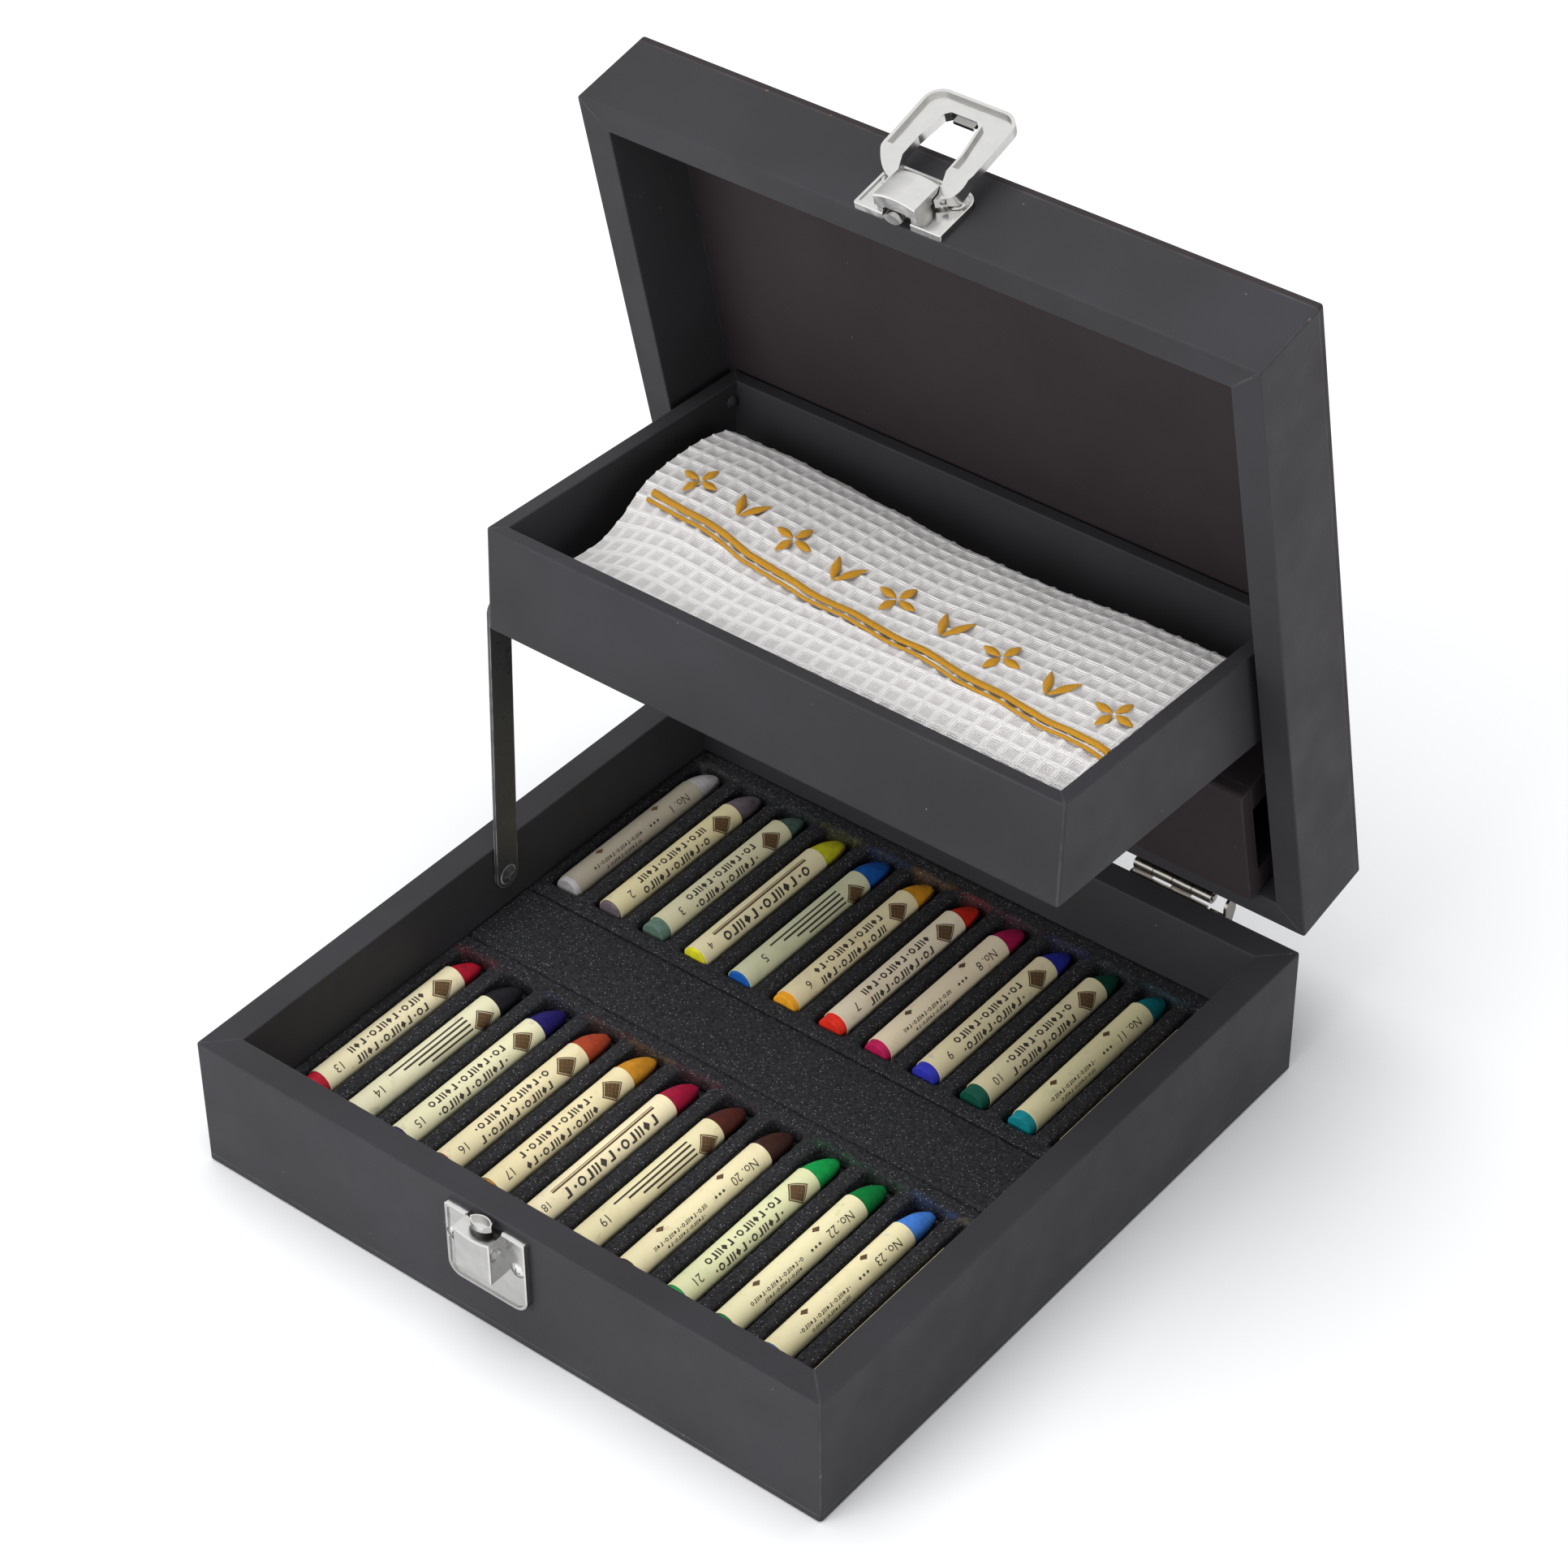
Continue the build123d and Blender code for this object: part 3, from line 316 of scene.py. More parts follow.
def finishWood():
    plain = lacquerMaterial("blackLacquer", lacquer["edgeWearAndHighlight"])
    wornAndHighlit = lacquerMaterial("wornHighlitLacquer", lacquer["hardEdgeWearAndHighlight"])
    warm = lacquerMaterial("warmLacquer", lacquer["edgeWearAndHighlight"], lacquer["warmTint"])
    boards = ["base_front_wall", "base_rear_wall", "base_left_wall", "base_right_wall",
              "base_bottom_panel", "lid_front_wall", "lid_rear_wall", "lid_left_wall",
              "lid_right_wall", "tray_rear_wall", "tray_right_wall", "tray_bottom_panel",
              "tray_pivot_screws"]
    finishNodes(plain, *boards)
    finishNodes(warm, "lid_top_panel", "lid_channel_web", "lid_channel_front_batten",
                "lid_channel_rear_batten")
    finishNodes(wornAndHighlit, "tray_front_wall", "tray_left_wall")


finishWood()
print("wood finished")


metal = {
    "nickel": (0.74, 0.735, 0.72, 1.0),
    # darker, warmer nickel for the hinges and stops: a painted dark reflection
    "reflectionDarkened": (0.62, 0.59, 0.54, 1.0),
    # painted shade: the colours that bright metal is painted towards as it turns edge on
    "shade": (0.20, 0.197, 0.192, 1.0),
    "deepShade": (0.035, 0.03, 0.027, 1.0),
    "steel": (0.44, 0.43, 0.42, 1.0),
    "blackSteel": (0.035, 0.036, 0.037, 1.0),
    # lighter colour of the arm's sharp edges: partly rubbed steel, partly a painted highlight
    "rubbed": (0.36, 0.36, 0.36, 1.0),
    "filmSize": 0.005,
    "filmDullness": 0.84,
    "waveSize": 0.007,
    "waveHeight": 0.00022,
    "shadeRange": (0.33, 0.70),     # painted shade and reflection, from facing the eye to seen edge on
    "markSize": 0.0016,
    "rubAndHighlightWidth": 0.0006,
    "rubSize": 0.006,
    "smearSize": 0.009,
    "smearHeight": 0.0001,
}


def brightMetal(name, colour, shade, smooth, rough):
    material, tree, shader = startMaterial(name, smooth, metallic=1.0)
    place = placeOf(tree)
    film = spread(tree, noiseOf(tree, place, metal["filmSize"], 3.0), 0.3, 0.8, 0.0, 0.5)
    dull = tuple(part * metal["filmDullness"] for part in colour[:3]) + (1.0,)
    tone = mixed(tree, film, colour, dull)
    wave = noiseOf(tree, place, metal["waveSize"], 1.0)
    uneven = bumped(tree, shader, wave, metal["waveHeight"], 1.0)
    # painted shade and reflection: the metal is painted darker towards the shade colour as it
    # turns edge on
    turned = addNode(tree, "ShaderNodeLayerWeight", {"Blend": 0.5, "Normal": uneven})
    share = spread(tree, turned.outputs["Facing"], *metal["shadeRange"])
    tree.links.new(mixed(tree, share, tone, shade), shader.inputs["Base Color"])
    marks = noiseOf(tree, place, metal["markSize"], 6.0, 0.7)
    tree.links.new(spread(tree, marks, 0.3, 0.75, smooth, rough), shader.inputs["Roughness"])
    return material


def blackSteelMaterial():
    material, tree, shader = startMaterial("blackSteel", 0.32, specular=0.5)
    place = placeOf(tree)
    # lighter sharp edges: partly rubbed steel, partly a painted highlight along the edges
    edge = edgeShare(tree, metal["rubAndHighlightWidth"])
    rubbed = maths(tree, "MULTIPLY", edge,
                   spread(tree, noiseOf(tree, place, metal["rubSize"]), 0.4, 0.6, 0.3, 1.0))
    colour = mixed(tree, rubbed, metal["blackSteel"], metal["rubbed"])
    tree.links.new(colour, shader.inputs["Base Color"])
    smear = noiseOf(tree, place, metal["smearSize"], 5.0, 0.65)
    tree.links.new(spread(tree, smear, 0.35, 0.7, 0.24, 0.45), shader.inputs["Roughness"])
    bumped(tree, shader, smear, metal["smearHeight"], 0.35)
    return material


def finishMetal():
    nickel = brightMetal("brightNickel", metal["nickel"], metal["shade"], 0.16, 0.26)
    # hinges and stops: darker nickel with a deeper painted shade, as a painted dark reflection
    reflectionDarkened = brightMetal("reflectionDarkenedNickel", metal["reflectionDarkened"], metal["deepShade"], 0.18, 0.28)
    steel = brightMetal("plainSteel", metal["steel"], metal["shade"], 0.24, 0.4)
    blackSteel = blackSteelMaterial()
    finishNodes(nickel, "latch_plate", "latch_block", "latch_locating_pin", "latch_screws",
                "latch_axle", "latch_bail", "catch_plate", "catch_block", "catch_socket",
                "catch_screws")
    finishNodes(reflectionDarkened, "hinge_base_leaves", "hinge_lid_leaves", "hinge_base_screws",
                "hinge_lid_screws", "lid_stops")
    finishNodes(steel, "hinge_pins", "arm_spacer", "tray_pivot_washers", "tray_arm_stud")
    finishNodes(blackSteel, "lift_arm", "arm_eye_rivet", "arm_base_screw")


finishMetal()
print("metal finished")


sticks = {
    "pitch": 0.0181,
    "perRow": 12,
    "radius": 0.00443,
    "nose": 0.0135,
    "noseSpread": 0.12,     # how far the noses differ in length
    "blunt": 0.16,          # size of the tip's flat, as a share of the radius
    "bluntSpread": 0.10,
    "droop": 0.50,          # how far the tip points low, as a share of the radius
    "sideways": 0.16,
    "footShare": 0.90,      # the foot's broken edge
    "dents": 0.03,
    "dentLength": 0.004,
    "sides": 28,
    "waxSize": 0.0022,
    "smudgeSize": 0.0045,
    "chalkSize": 0.0009,
    "chalkHeight": 0.00022,
    "waxShade": (0.72, 0.70, 0.70, 1.0),
    "rear": ["bdbabb", "6f656b", "5c7669", "dcd82a", "1c5db2", "f0a628", "e4301f", "b81c54",
             "3036ae", "10503f", "12868e", "5c2f70"],
    "front": ["b4182f", "1b1b20", "221b60", "ac4529", "cc8c26", "a01639", "4e231d", "3b211b",
              "14a04b", "087c3a", "4a88e2", "c9b7a2"],
    "smudge": (0.02, 0.02, 0.022, 1.0),
}
rowReach = sticks["pitch"] * sticks["perRow"] / 2


def pastelMaterial(name, codes):
    material, tree, shader = startMaterial(name, 0.62, specular=0.3)
    place = placeOf(tree)
    colour = stepsAlongX(tree, place, codes, -rowReach, rowReach)
    waxy = spread(tree, noiseOf(tree, place, sticks["waxSize"], 5.0), 0.3, 0.75)
    deeper = mixed(tree, 1.0, colour, sticks["waxShade"], "MULTIPLY")
    colour = mixed(tree, waxy, colour, deeper)
    smear = noiseOf(tree, place, sticks["smudgeSize"], 4.0, 0.6)
    smudged = spread(tree, smear, 0.60, 0.72, 0.0, 0.55)
    colour = mixed(tree, smudged, colour, sticks["smudge"])
    tree.links.new(colour, shader.inputs["Base Color"])
    rough = spread(tree, waxy, 0, 1, 0.5, 0.75)
    tree.links.new(rough, shader.inputs["Roughness"])
    chalk = noiseOf(tree, place, sticks["chalkSize"], 6.0, 0.7)
    bumped(tree, shader, chalk, sticks["chalkHeight"], 0.8)
    return material


# front and back end of each stick of a row, read from the corners of its node
def stickEnds(node):
    ends = [[1.0, -1.0] for _ in range(sticks["perRow"])]
    for vertex in nodes[node].data.vertices:
        pair = ends[int((vertex.co.x + rowReach) / sticks["pitch"])]
        pair[0], pair[1] = min(pair[0], vertex.co.y), max(pair[1], vertex.co.y)
    return ends


# a used stick: long worn nose that points low, shallow dents, broken edge at the foot
def addStick(work, x, z, foot, tip, seed):
    radius, sides = sticks["radius"], sticks["sides"]
    noseNoise = noise.noise(Vector((seed * 3.7, 1.5, 0.2)))
    bluntNoise = noise.noise(Vector((seed * 5.1, 0.4, 9.0)))
    nose = sticks["nose"] * (1 + sticks["noseSpread"] * noseNoise)
    blunt = sticks["blunt"] + sticks["bluntSpread"] * bluntNoise
    # rings lie close together at the tip and wide apart under the sleeve
    places = [0.0, 0.0003, 0.0008, 0.0016] + [0.0016 + 0.0010 * n for n in range(1, 16)]
    places += [0.019 + 0.006 * n for n in range(8)] + [tip - foot - 0.0005, tip - foot]
    rings = []
    for number, back in enumerate(places):
        share = min(back / nose, 1.0)
        grown = blunt + (1 - blunt) * (1 - (1 - share) ** 2.0) ** 0.62
        if number == 0:
            grown = blunt * 0.55
        if number == len(places) - 1:
            grown = sticks["footShare"]
        bend = radius * (1 - share) ** 1.6
        ring = []
        for turn in range(sides):
            angle = 2 * math.pi * turn / sides
            across, up = math.cos(angle), math.sin(angle)
            dent = noise.noise(Vector((across * 1.4, up * 1.4 + seed * 9.1,
                                       back / sticks["dentLength"])))
            thick = radius * grown * (1 + sticks["dents"] * (dent - 0.45))
            ring.append(work.verts.new((
                x + thick * across + sticks["sideways"] * bend,
                tip - back - 0.0006 * dent * (number < 3),
                z + thick * up - sticks["droop"] * bend)))
        rings.append(ring)
    for first, second in zip(rings, rings[1:]):
        for turn in range(sides):
            following = (turn + 1) % sides
            work.faces.new((first[turn], first[following], second[following], second[turn]))
    work.faces.new(list(reversed(rings[0])))
    work.faces.new(rings[-1])


def makeSticks(row, node, material):
    low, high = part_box(node)
    work = bmesh.new()
    firstSeed = 20 if row == "rear" else 0
    for number, (foot, tip) in enumerate(stickEnds(node)):
        x = (number + 0.5) * sticks["pitch"] - rowReach
        addStick(work, x, (low.z + high.z) / 2, foot, tip, number + firstSeed)
    for face in work.faces:
        face.smooth = len(face.verts) == 4
    mesh = bpy.data.meshes.new(row + "Sticks")
    work.to_mesh(mesh)
    work.free()
    mesh.materials.append(material)
    piece = addObject(row + "Sticks", mesh)
    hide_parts(node)
    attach(piece, "base")


makeSticks("rear", "rear_row_sticks", pastelMaterial("rearPastels", sticks["rear"]))
makeSticks("front", "front_row_sticks", pastelMaterial("frontPastels", sticks["front"]))
print("pastels finished")


labels = {
    "rear": ["a49c8a", "ddd1a4", "d8d2ae", "ebdfb6", "cfd0ab", "e9dab0", "eadcc0", "ecdcbc",
             "e6d9b0", "e2d6ae", "e6dcae", "e4d8b0"],
    "front": ["e2d7b2", "dbd6b4", "dfdab4", "e4d7ae", "e6d8ac", "ecdfb8", "e2d7ac", "e8dcb2",
              "dcdcae", "e8dfb4", "e9deb2", "e4d8b0"],
    "stain": (0.30, 0.24, 0.12, 1.0),
    "rubSize": 0.005,
    "rubShare": 0.28,
    "stainSize": 0.011,
    "stainShare": 0.16,
    "fleckCell": 0.006,
    "fleckRadius": 0.00022,
    "creaseSize": 0.002,
    "creaseHeight": 0.00005,
}


def labelMaterial(name, codes, stickCodes):
    material, tree, shader = startMaterial(name, 0.6, specular=0.3)
    place = placeOf(tree)
    colour = stepsAlongX(tree, place, codes, -rowReach, rowReach)
    rub = stepsAlongX(tree, place, stickCodes, -rowReach, rowReach)
    rubNoise = noiseOf(tree, place, labels["rubSize"], 5.0, 0.65)
    rubbed = spread(tree, rubNoise, 0.58, 0.74, 0.0, labels["rubShare"])
    colour = mixed(tree, rubbed, colour, rub)
    stainNoise = noiseOf(tree, place, labels["stainSize"], 3.0)
    stained = spread(tree, stainNoise, 0.55, 0.75, 0.0, labels["stainShare"])
    colour = mixed(tree, stained, colour, labels["stain"])
    fleck = spots(tree, place, labels["fleckCell"], labels["fleckRadius"], 0.35)
    colour = mixed(tree, fleck, colour, rub)
    tree.links.new(colour, shader.inputs["Base Color"])
    crease = noiseOf(tree, place, labels["creaseSize"], 3.0)
    bumped(tree, shader, crease, labels["creaseHeight"], 0.4)
    return material


finishNodes(labelMaterial("rearPaper", labels["rear"], sticks["rear"]), "rear_row_labels")
finishNodes(labelMaterial("frontPaper", labels["front"], sticks["front"]), "front_row_labels")
print("labels finished")


foam = {
    "colour": (0.038, 0.038, 0.041, 1.0),
    "pore": (0.012, 0.012, 0.013, 1.0),
    "glint": (0.36, 0.36, 0.37, 1.0),
    "voxel": 0.0008,        # of the slotted blocks
    "bandVoxel": 0.0012,
    "baseVoxel": 0.0025,
    "roughness": 0.00022,
    "lumpSize": 0.0021,
    "poreSize": 0.0009,
    "skinSize": 0.0011,
    "skinHeight": 0.0005,
    "glintCell": 0.0009,
    "glintRadius": 0.00014,
    "dustReach": 0.006,     # of pigment dust, from the sticks' tips
    "dustSize": 0.006,
    "dustShare": 0.11,
    "fill": 0.95,
}


def foamMaterial(name, codes, tipY):
    material, tree, shader = startMaterial(name, 0.95, specular=0.15)
    place = placeOf(tree)
    # painted shade: darker pores in fine noise
    pores = spread(tree, noiseOf(tree, place, foam["poreSize"], 3.0, 0.7), 0.35, 0.62)
    colour = mixed(tree, pores, foam["pore"], foam["colour"])
    if codes:
        parts = addNode(tree, "ShaderNodeSeparateXYZ", {0: place})
        away = maths(tree, "ABSOLUTE", maths(tree, "SUBTRACT", parts.outputs["Y"], tipY))
        near = spread(tree, away, 0.0, foam["dustReach"], 1.0, 0.0)
        cloud = noiseOf(tree, place, foam["dustSize"], 6.0, 0.75)
        dust = maths(tree, "MULTIPLY", near, cloud)
        dusty = spread(tree, dust, 0.34, 0.62, 0.0, foam["dustShare"])
        pigment = stepsAlongX(tree, place, codes, -rowReach, rowReach)
        colour = mixed(tree, dusty, colour, pigment)
    # painted glints: pale specks that stand in for light caught by the foam's cells
    glint = spots(tree, place, foam["glintCell"], foam["glintRadius"], 0.65)
    colour = mixed(tree, glint, colour, foam["glint"])
    tree.links.new(colour, shader.inputs["Base Color"])
    skin = noiseOf(tree, place, foam["skinSize"], 4.0, 0.8)
    bumped(tree, shader, skin, foam["skinHeight"], 1.0)
    return material


# a soft copy of a foam node, with rounded cut edges and an uneven skin
def softCopy(node, pieceName, voxel):
    piece = addObject(pieceName, nodes[node].data.copy())
    piece.data.materials.clear()
    remesh = piece.modifiers.new("remesh", "REMESH")
    remesh.mode = "VOXEL"
    remesh.voxel_size = voxel
    smooth = piece.modifiers.new("smooth", "SMOOTH")
    smooth.iterations = 3
    smooth.factor = 0.5
    graph = bpy.context.evaluated_depsgraph_get()
    mesh = bpy.data.meshes.new_from_object(piece.evaluated_get(graph))
    piece.modifiers.clear()
    piece.data = mesh
    low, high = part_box(node)
    for vertex in mesh.vertices:
        shift = noise.noise_vector(vertex.co / foam["lumpSize"]) * foam["roughness"]
        vertex.co = vertex.co + shift
        vertex.co = Vector([min(max(c, lo), hi) for c, lo, hi in zip(vertex.co, low, high)])
    for face in mesh.polygons:
        face.use_smooth = True
    return piece


def makeFoam():
    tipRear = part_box("rear_row_sticks")[1].y
    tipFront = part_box("front_row_sticks")[1].y
    plain = foamMaterial("foamPlain", None, 0.0)
    kinds = [
        ("foam_base_layer", "foamBase", foam["baseVoxel"], plain),
        ("foam_middle_band", "foamBand", foam["bandVoxel"], plain),
        ("foam_front_block", "foamFront", foam["voxel"],
         foamMaterial("foamFrontRow", sticks["front"], tipFront)),
        ("foam_rear_block", "foamRear", foam["voxel"],
         foamMaterial("foamRearRow", sticks["rear"], tipRear)),
    ]
    for node, pieceName, voxel, material in kinds:
        piece = softCopy(node, pieceName, voxel)
        piece.data.materials.append(material)
        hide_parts(node)
        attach(piece, "base")


makeFoam()
print("foam made")


# one sheet, wound into a flat roll; lengths in metres from the tray pivot
towel = {
    "lean": 2.4,            # how far the raised tray leans, in degrees
    "left": -0.0920,
    "right": 0.1010,
    "front": -0.1050,       # across the tray, in the tray's own directions
    "rear": -0.0094,
    "low": -0.0268,
    "crest": 0.0042,
    "squareness": 5.0,
    "turns": 3.2,
    "inset": 0.0034,        # how far each turn lies inside the one before
    "cornerDrop": 0.0130,
    "cellAlong": 0.0055,
    "cellAcross": 0.0062,
    "relief": 0.0014,
    "step": 0.0006,
    "innerStep": 0.003,
    "thickness": 0.0021,
    "rearHollow": 0.0050,   # where the rear edge is pressed in, its place and half width
    "rearHollowX": 0.012,
    "rearHollowWidth": 0.045,
    "rearSlant": 0.0027,
    "frontWave": 0.0012,
    "cornerWidth": 0.024,   # of the fallen front left corner
    "hollow": 0.0022,       # soft hollow over the front edge
    "hollowX": -0.034,
    "hollowWidth": 0.022,
    "frontDrop": 0.0016,
    "topWave": 0.0008,
    "slack": 0.0008,
    "fineSlack": 0.0003,
    "sunk": 0.0006,
    "innerSunk": 0.0006,
}
trayPivot = Vector(joints["tray_pivot"]["pos_m"])


def trayPlace(x, y, z):
    lean = math.radians(towel["lean"])
    return Vector((x, trayPivot.y + y * math.cos(lean) + z * math.sin(lean),
                   trayPivot.z - y * math.sin(lean) + z * math.cos(lean)))


def smoothly(value, low, high):
    share = min(max((value - low) / (high - low), 0.0), 1.0)
    return share * share * (3 - 2 * share)


# the roll starts under the middle, climbs behind, runs forward over the top and winds inwards
def rollPoint(x, turn):
    share = (x - towel["left"]) / (towel["right"] - towel["left"])
    inset = towel["inset"] * max(turn - 0.75, 0.0)
    pressed = math.exp(-((x - towel["rearHollowX"]) / towel["rearHollowWidth"]) ** 2)
    rear = towel["rear"] - towel["rearHollow"] * pressed - towel["rearSlant"] * share
    front = towel["front"] + towel["frontWave"] * math.sin(x * 55)
    halfY, halfZ = (rear - front) / 2 - inset, (towel["crest"] - towel["low"]) / 2 - inset
    middleY, middleZ = (rear + front) / 2, (towel["crest"] + towel["low"]) / 2
    angle = 2 * math.pi * (turn - 0.25)
    cosine, sine = math.cos(angle), math.sin(angle)
    power = towel["squareness"]
    reach = (abs(cosine) ** power + abs(sine) ** power) ** (-1 / power)
    return middleY + halfY * reach * cosine, middleZ + halfZ * reach * sine


# settles a place of the even roll: loose front left corner, a soft hollow, uneven left end
def settled(x, y, z):
    fromLeft = x - towel["left"]
    up = (z - towel["low"]) / (towel["crest"] - towel["low"])
    drop = (towel["cornerDrop"] * smoothly(-y, 0.050, 0.100)
            * math.exp(-(fromLeft / towel["cornerWidth"]) ** 1.4))
    hollow = math.exp(-((x - towel["hollowX"]) / towel["hollowWidth"]) ** 2)
    drop += towel["hollow"] * hollow * smoothly(-y, 0.045, 0.085)
    drop += towel["frontDrop"] * smoothly(-y, 0.080, 0.104)
    drop += towel["topWave"] * math.sin(x * 42 + 1.0) * smoothly(-y, 0.01, 0.05)
    inward = 0.0048 * min(((y + 0.030) / 0.040) ** 2, 1.0) - 0.0095 * smoothly(-y, 0.078, 0.104)
    inward *= math.exp(-fromLeft / 0.03)
    return trayPlace(x + inward, y, z - drop * max(up, 0.0))


def rollNormal(x, turn):
    y0, z0 = rollPoint(x, turn - 0.002)
    y1, z1 = rollPoint(x, turn + 0.002)
    along = Vector((y1 - y0, z1 - z0)).normalized()
    return along.y, -along.x


# the turns that show: up the rear, over the top and down the front
def outside(turn):
    return 0.2 < turn < 0.86


# turn counts at even steps along the wound cloth, with the length that each has reached
def turnsAlong():
    found, length, reached = [], 0.0, -1.0
    count = 12000
    last = rollPoint(0.0, 0.0)
    for number in range(count + 1):
        turn = towel["turns"] * number / count
        point = rollPoint(0.0, turn)
        length += math.dist(point, last)
        last = point
        step = towel["step"] if outside(turn) else towel["innerStep"]
        if length - reached >= step:
            found.append((turn, length))
            reached = length
    return found


clothSteps = turnsAlong()


def lengthAt(turn):
    place = bisect.bisect([step[0] for step in clothSteps], turn)
    return clothSteps[min(place, len(clothSteps) - 1)][1]


def ridge(value, cell):
    phase = value / cell
    return (1 - 2 * abs(phase - round(phase))) ** 1.6


def slackAt(x, length):
    loose = noise.noise(Vector((x * 38, length * 30, 3.1))) * towel["slack"]
    fine = noise.noise(Vector((x * 120, length * 90, 7.7))) * towel["fineSlack"]
    return loose + fine - towel["sunk"]


def towelHeight(x, turn, length):
    if not outside(turn):
        return -towel["innerSunk"]
    weave = max(ridge(length, towel["cellAlong"]), ridge(x, towel["cellAcross"]))
    return slackAt(x, length) + towel["relief"] * (weave - 1)


def towelPoint(x, turn, length):
    y, z = rollPoint(x, turn)
    outY, outZ = rollNormal(x, turn)
    height = towelHeight(x, turn, length)
    return settled(x, y + outY * height, z + outZ * height)


def gridMesh(name, rows, places):
    mesh = bpy.data.meshes.new(name)
    width = len(rows[0])
    faces = []
    for i in range(len(rows) - 1):
        for j in range(width - 1):
            a = i * width + j
            faces.append((a, a + width, a + width + 1, a + 1))
    mesh.from_pydata([point for row in rows for point in row], [], faces)
    layer = mesh.uv_layers.new(name="weave")
    for loop in mesh.loops:
        layer.data[loop.index].uv = places[loop.vertex_index]
    for face in mesh.polygons:
        face.use_smooth = True
    return mesh


cloth = {
    "colour": (0.90, 0.88, 0.865, 1.0),
    # painted shade: the hollow colour darkens the waffle's hollows, the thread shade the gaps
    # between threads; the hollow colour also serves as grime
    "hollow": (0.71, 0.685, 0.67, 1.0),
    "threadShade": (0.80, 0.78, 0.76, 1.0),
    "thread": 0.00062,
    "threadHeight": 0.00025,
    "fray": 0.0004,
    "fraySize": 0.0012,
    "fuzzSize": 0.0007,
    "fuzzHeight": 0.0003,
    "grimeSize": 0.02,
    "grimeShare": 0.12,
    "gold": (0.80, 0.42, 0.030, 1.0),
    "goldDeep": (0.50, 0.21, 0.010, 1.0),
}


def threadWave(tree, value, pitch):
    turned = maths(tree, "MULTIPLY", value, 2 * math.pi / pitch)
    return maths(tree, "SINE", turned)


def towelMaterial():
    material, tree, shader = startMaterial("waffleCotton", 0.95, specular=0.1)
    shader.inputs["Sheen Weight"].default_value = 0.25
    shader.inputs["Sheen Roughness"].default_value = 0.6
    weave = addNode(tree, "ShaderNodeTexCoord").outputs["UV"]
    parts = addNode(tree, "ShaderNodeSeparateXYZ", {0: weave})
    place = placeOf(tree)
    along, across = parts.outputs["X"], parts.outputs["Y"]
    fray = maths(tree, "MULTIPLY", noiseOf(tree, place, cloth["fraySize"], 3.0), cloth["fray"])
    warp = threadWave(tree, maths(tree, "ADD", along, fray), cloth["thread"])
    weft = threadWave(tree, maths(tree, "ADD", across, fray), cloth["thread"])
    threads = maths(tree, "MAXIMUM", warp, weft)
    cellAlong = threadWave(tree, maths(tree, "ADD", along, towel["cellAlong"] / 4),
                           towel["cellAlong"])
    cellAcross = threadWave(tree, maths(tree, "ADD", across, towel["cellAcross"] / 4),
                            towel["cellAcross"])
    # painted shade: the waffle's hollows are painted darker than its raised ridges
    raised = spread(tree, maths(tree, "MAXIMUM", cellAlong, cellAcross), 0.0, 0.9)
    colour = mixed(tree, raised, cloth["hollow"], cloth["colour"])
    # painted shade between the threads
    shade = spread(tree, threads, -0.6, 0.3, 0.0, 1.0)
    deep = mixed(tree, 1.0, colour, cloth["threadShade"], "MULTIPLY")
    colour = mixed(tree, shade, deep, colour)
    # grime, in the same darker colour as the painted hollows
    grime = noiseOf(tree, place, cloth["grimeSize"], 4.0)
    grimy = spread(tree, grime, 0.55, 0.75, 0.0, cloth["grimeShare"])
    colour = mixed(tree, grimy, colour, cloth["hollow"])
    tree.links.new(colour, shader.inputs["Base Color"])
    knots = bumped(tree, shader, threads, cloth["threadHeight"], 0.8)
    fuzz = noiseOf(tree, place, cloth["fuzzSize"], 4.0, 0.8)
    bumped(tree, shader, fuzz, cloth["fuzzHeight"], 0.7, knots)
    return material


def makeTowel():
    count = int((towel["right"] - towel["left"]) / towel["step"])
    rows, places = [], []
    for turn, length in clothSteps:
        row = []
        for number in range(count + 1):
            x = towel["left"] + (towel["right"] - towel["left"]) * number / count
            row.append(towelPoint(x, turn, length))
            places.append((length, x))
        rows.append(row)
    piece = addObject("towelCloth", gridMesh("towelCloth", rows, places))
    solid = piece.modifiers.new("thickness", "SOLIDIFY")
    solid.thickness = towel["thickness"]
    solid.offset = -1.0
    piece.data.materials.append(towelMaterial())
    flatLength = clothSteps[-1][1]
    print("towel cloth length", round(flatLength, 4))
    return piece, flatLength


# the turn count of the top layer over a distance y from the tray pivot
def turnAtY(x, y):
    low, high = 0.25, 0.75
    for _ in range(30):
        middle = (low + high) / 2
        if rollPoint(x, middle)[0] > y:
            low = middle
        else:
            high = middle
    return (low + high) / 2


def topPoint(x, y, lift):
    turn = turnAtY(x, y)
    pointY, pointZ = rollPoint(x, turn)
    outY, outZ = rollNormal(x, turn)
    height = slackAt(x, lengthAt(turn)) + lift
    return settled(x, pointY + outY * height, pointZ + outZ * height)


embroidery = {
    "left": -0.0866,
    "right": 0.1006,
    "leftY": -0.0600,
    "rightY": -0.0812,
    "sag": 0.0026,
    "thick": 0.0026,
    "thin": 0.0013,
    "apart": 0.0034,
    "height": 0.0009,
    "motifPitch": 0.0210,
    "motifRise": 0.0145,
    "firstMotif": 0.010,    # from the stripe's left end
    "lastRoom": 0.004,
    "petal": (0.0072, 0.0034),
    "petalReach": 0.0042,
    "petalTurn": -0.2,
    "leaf": (0.0120, 0.0032),
    "leafApart": 0.0028,
    "leafLean": 0.45,
    "pointed": 1.5,         # 1 makes round petals
    "stitch": 0.00046,
    "stitchHeight": 0.0002,
    "sheenSize": 0.0008,
    "ragged": 0.12,
}


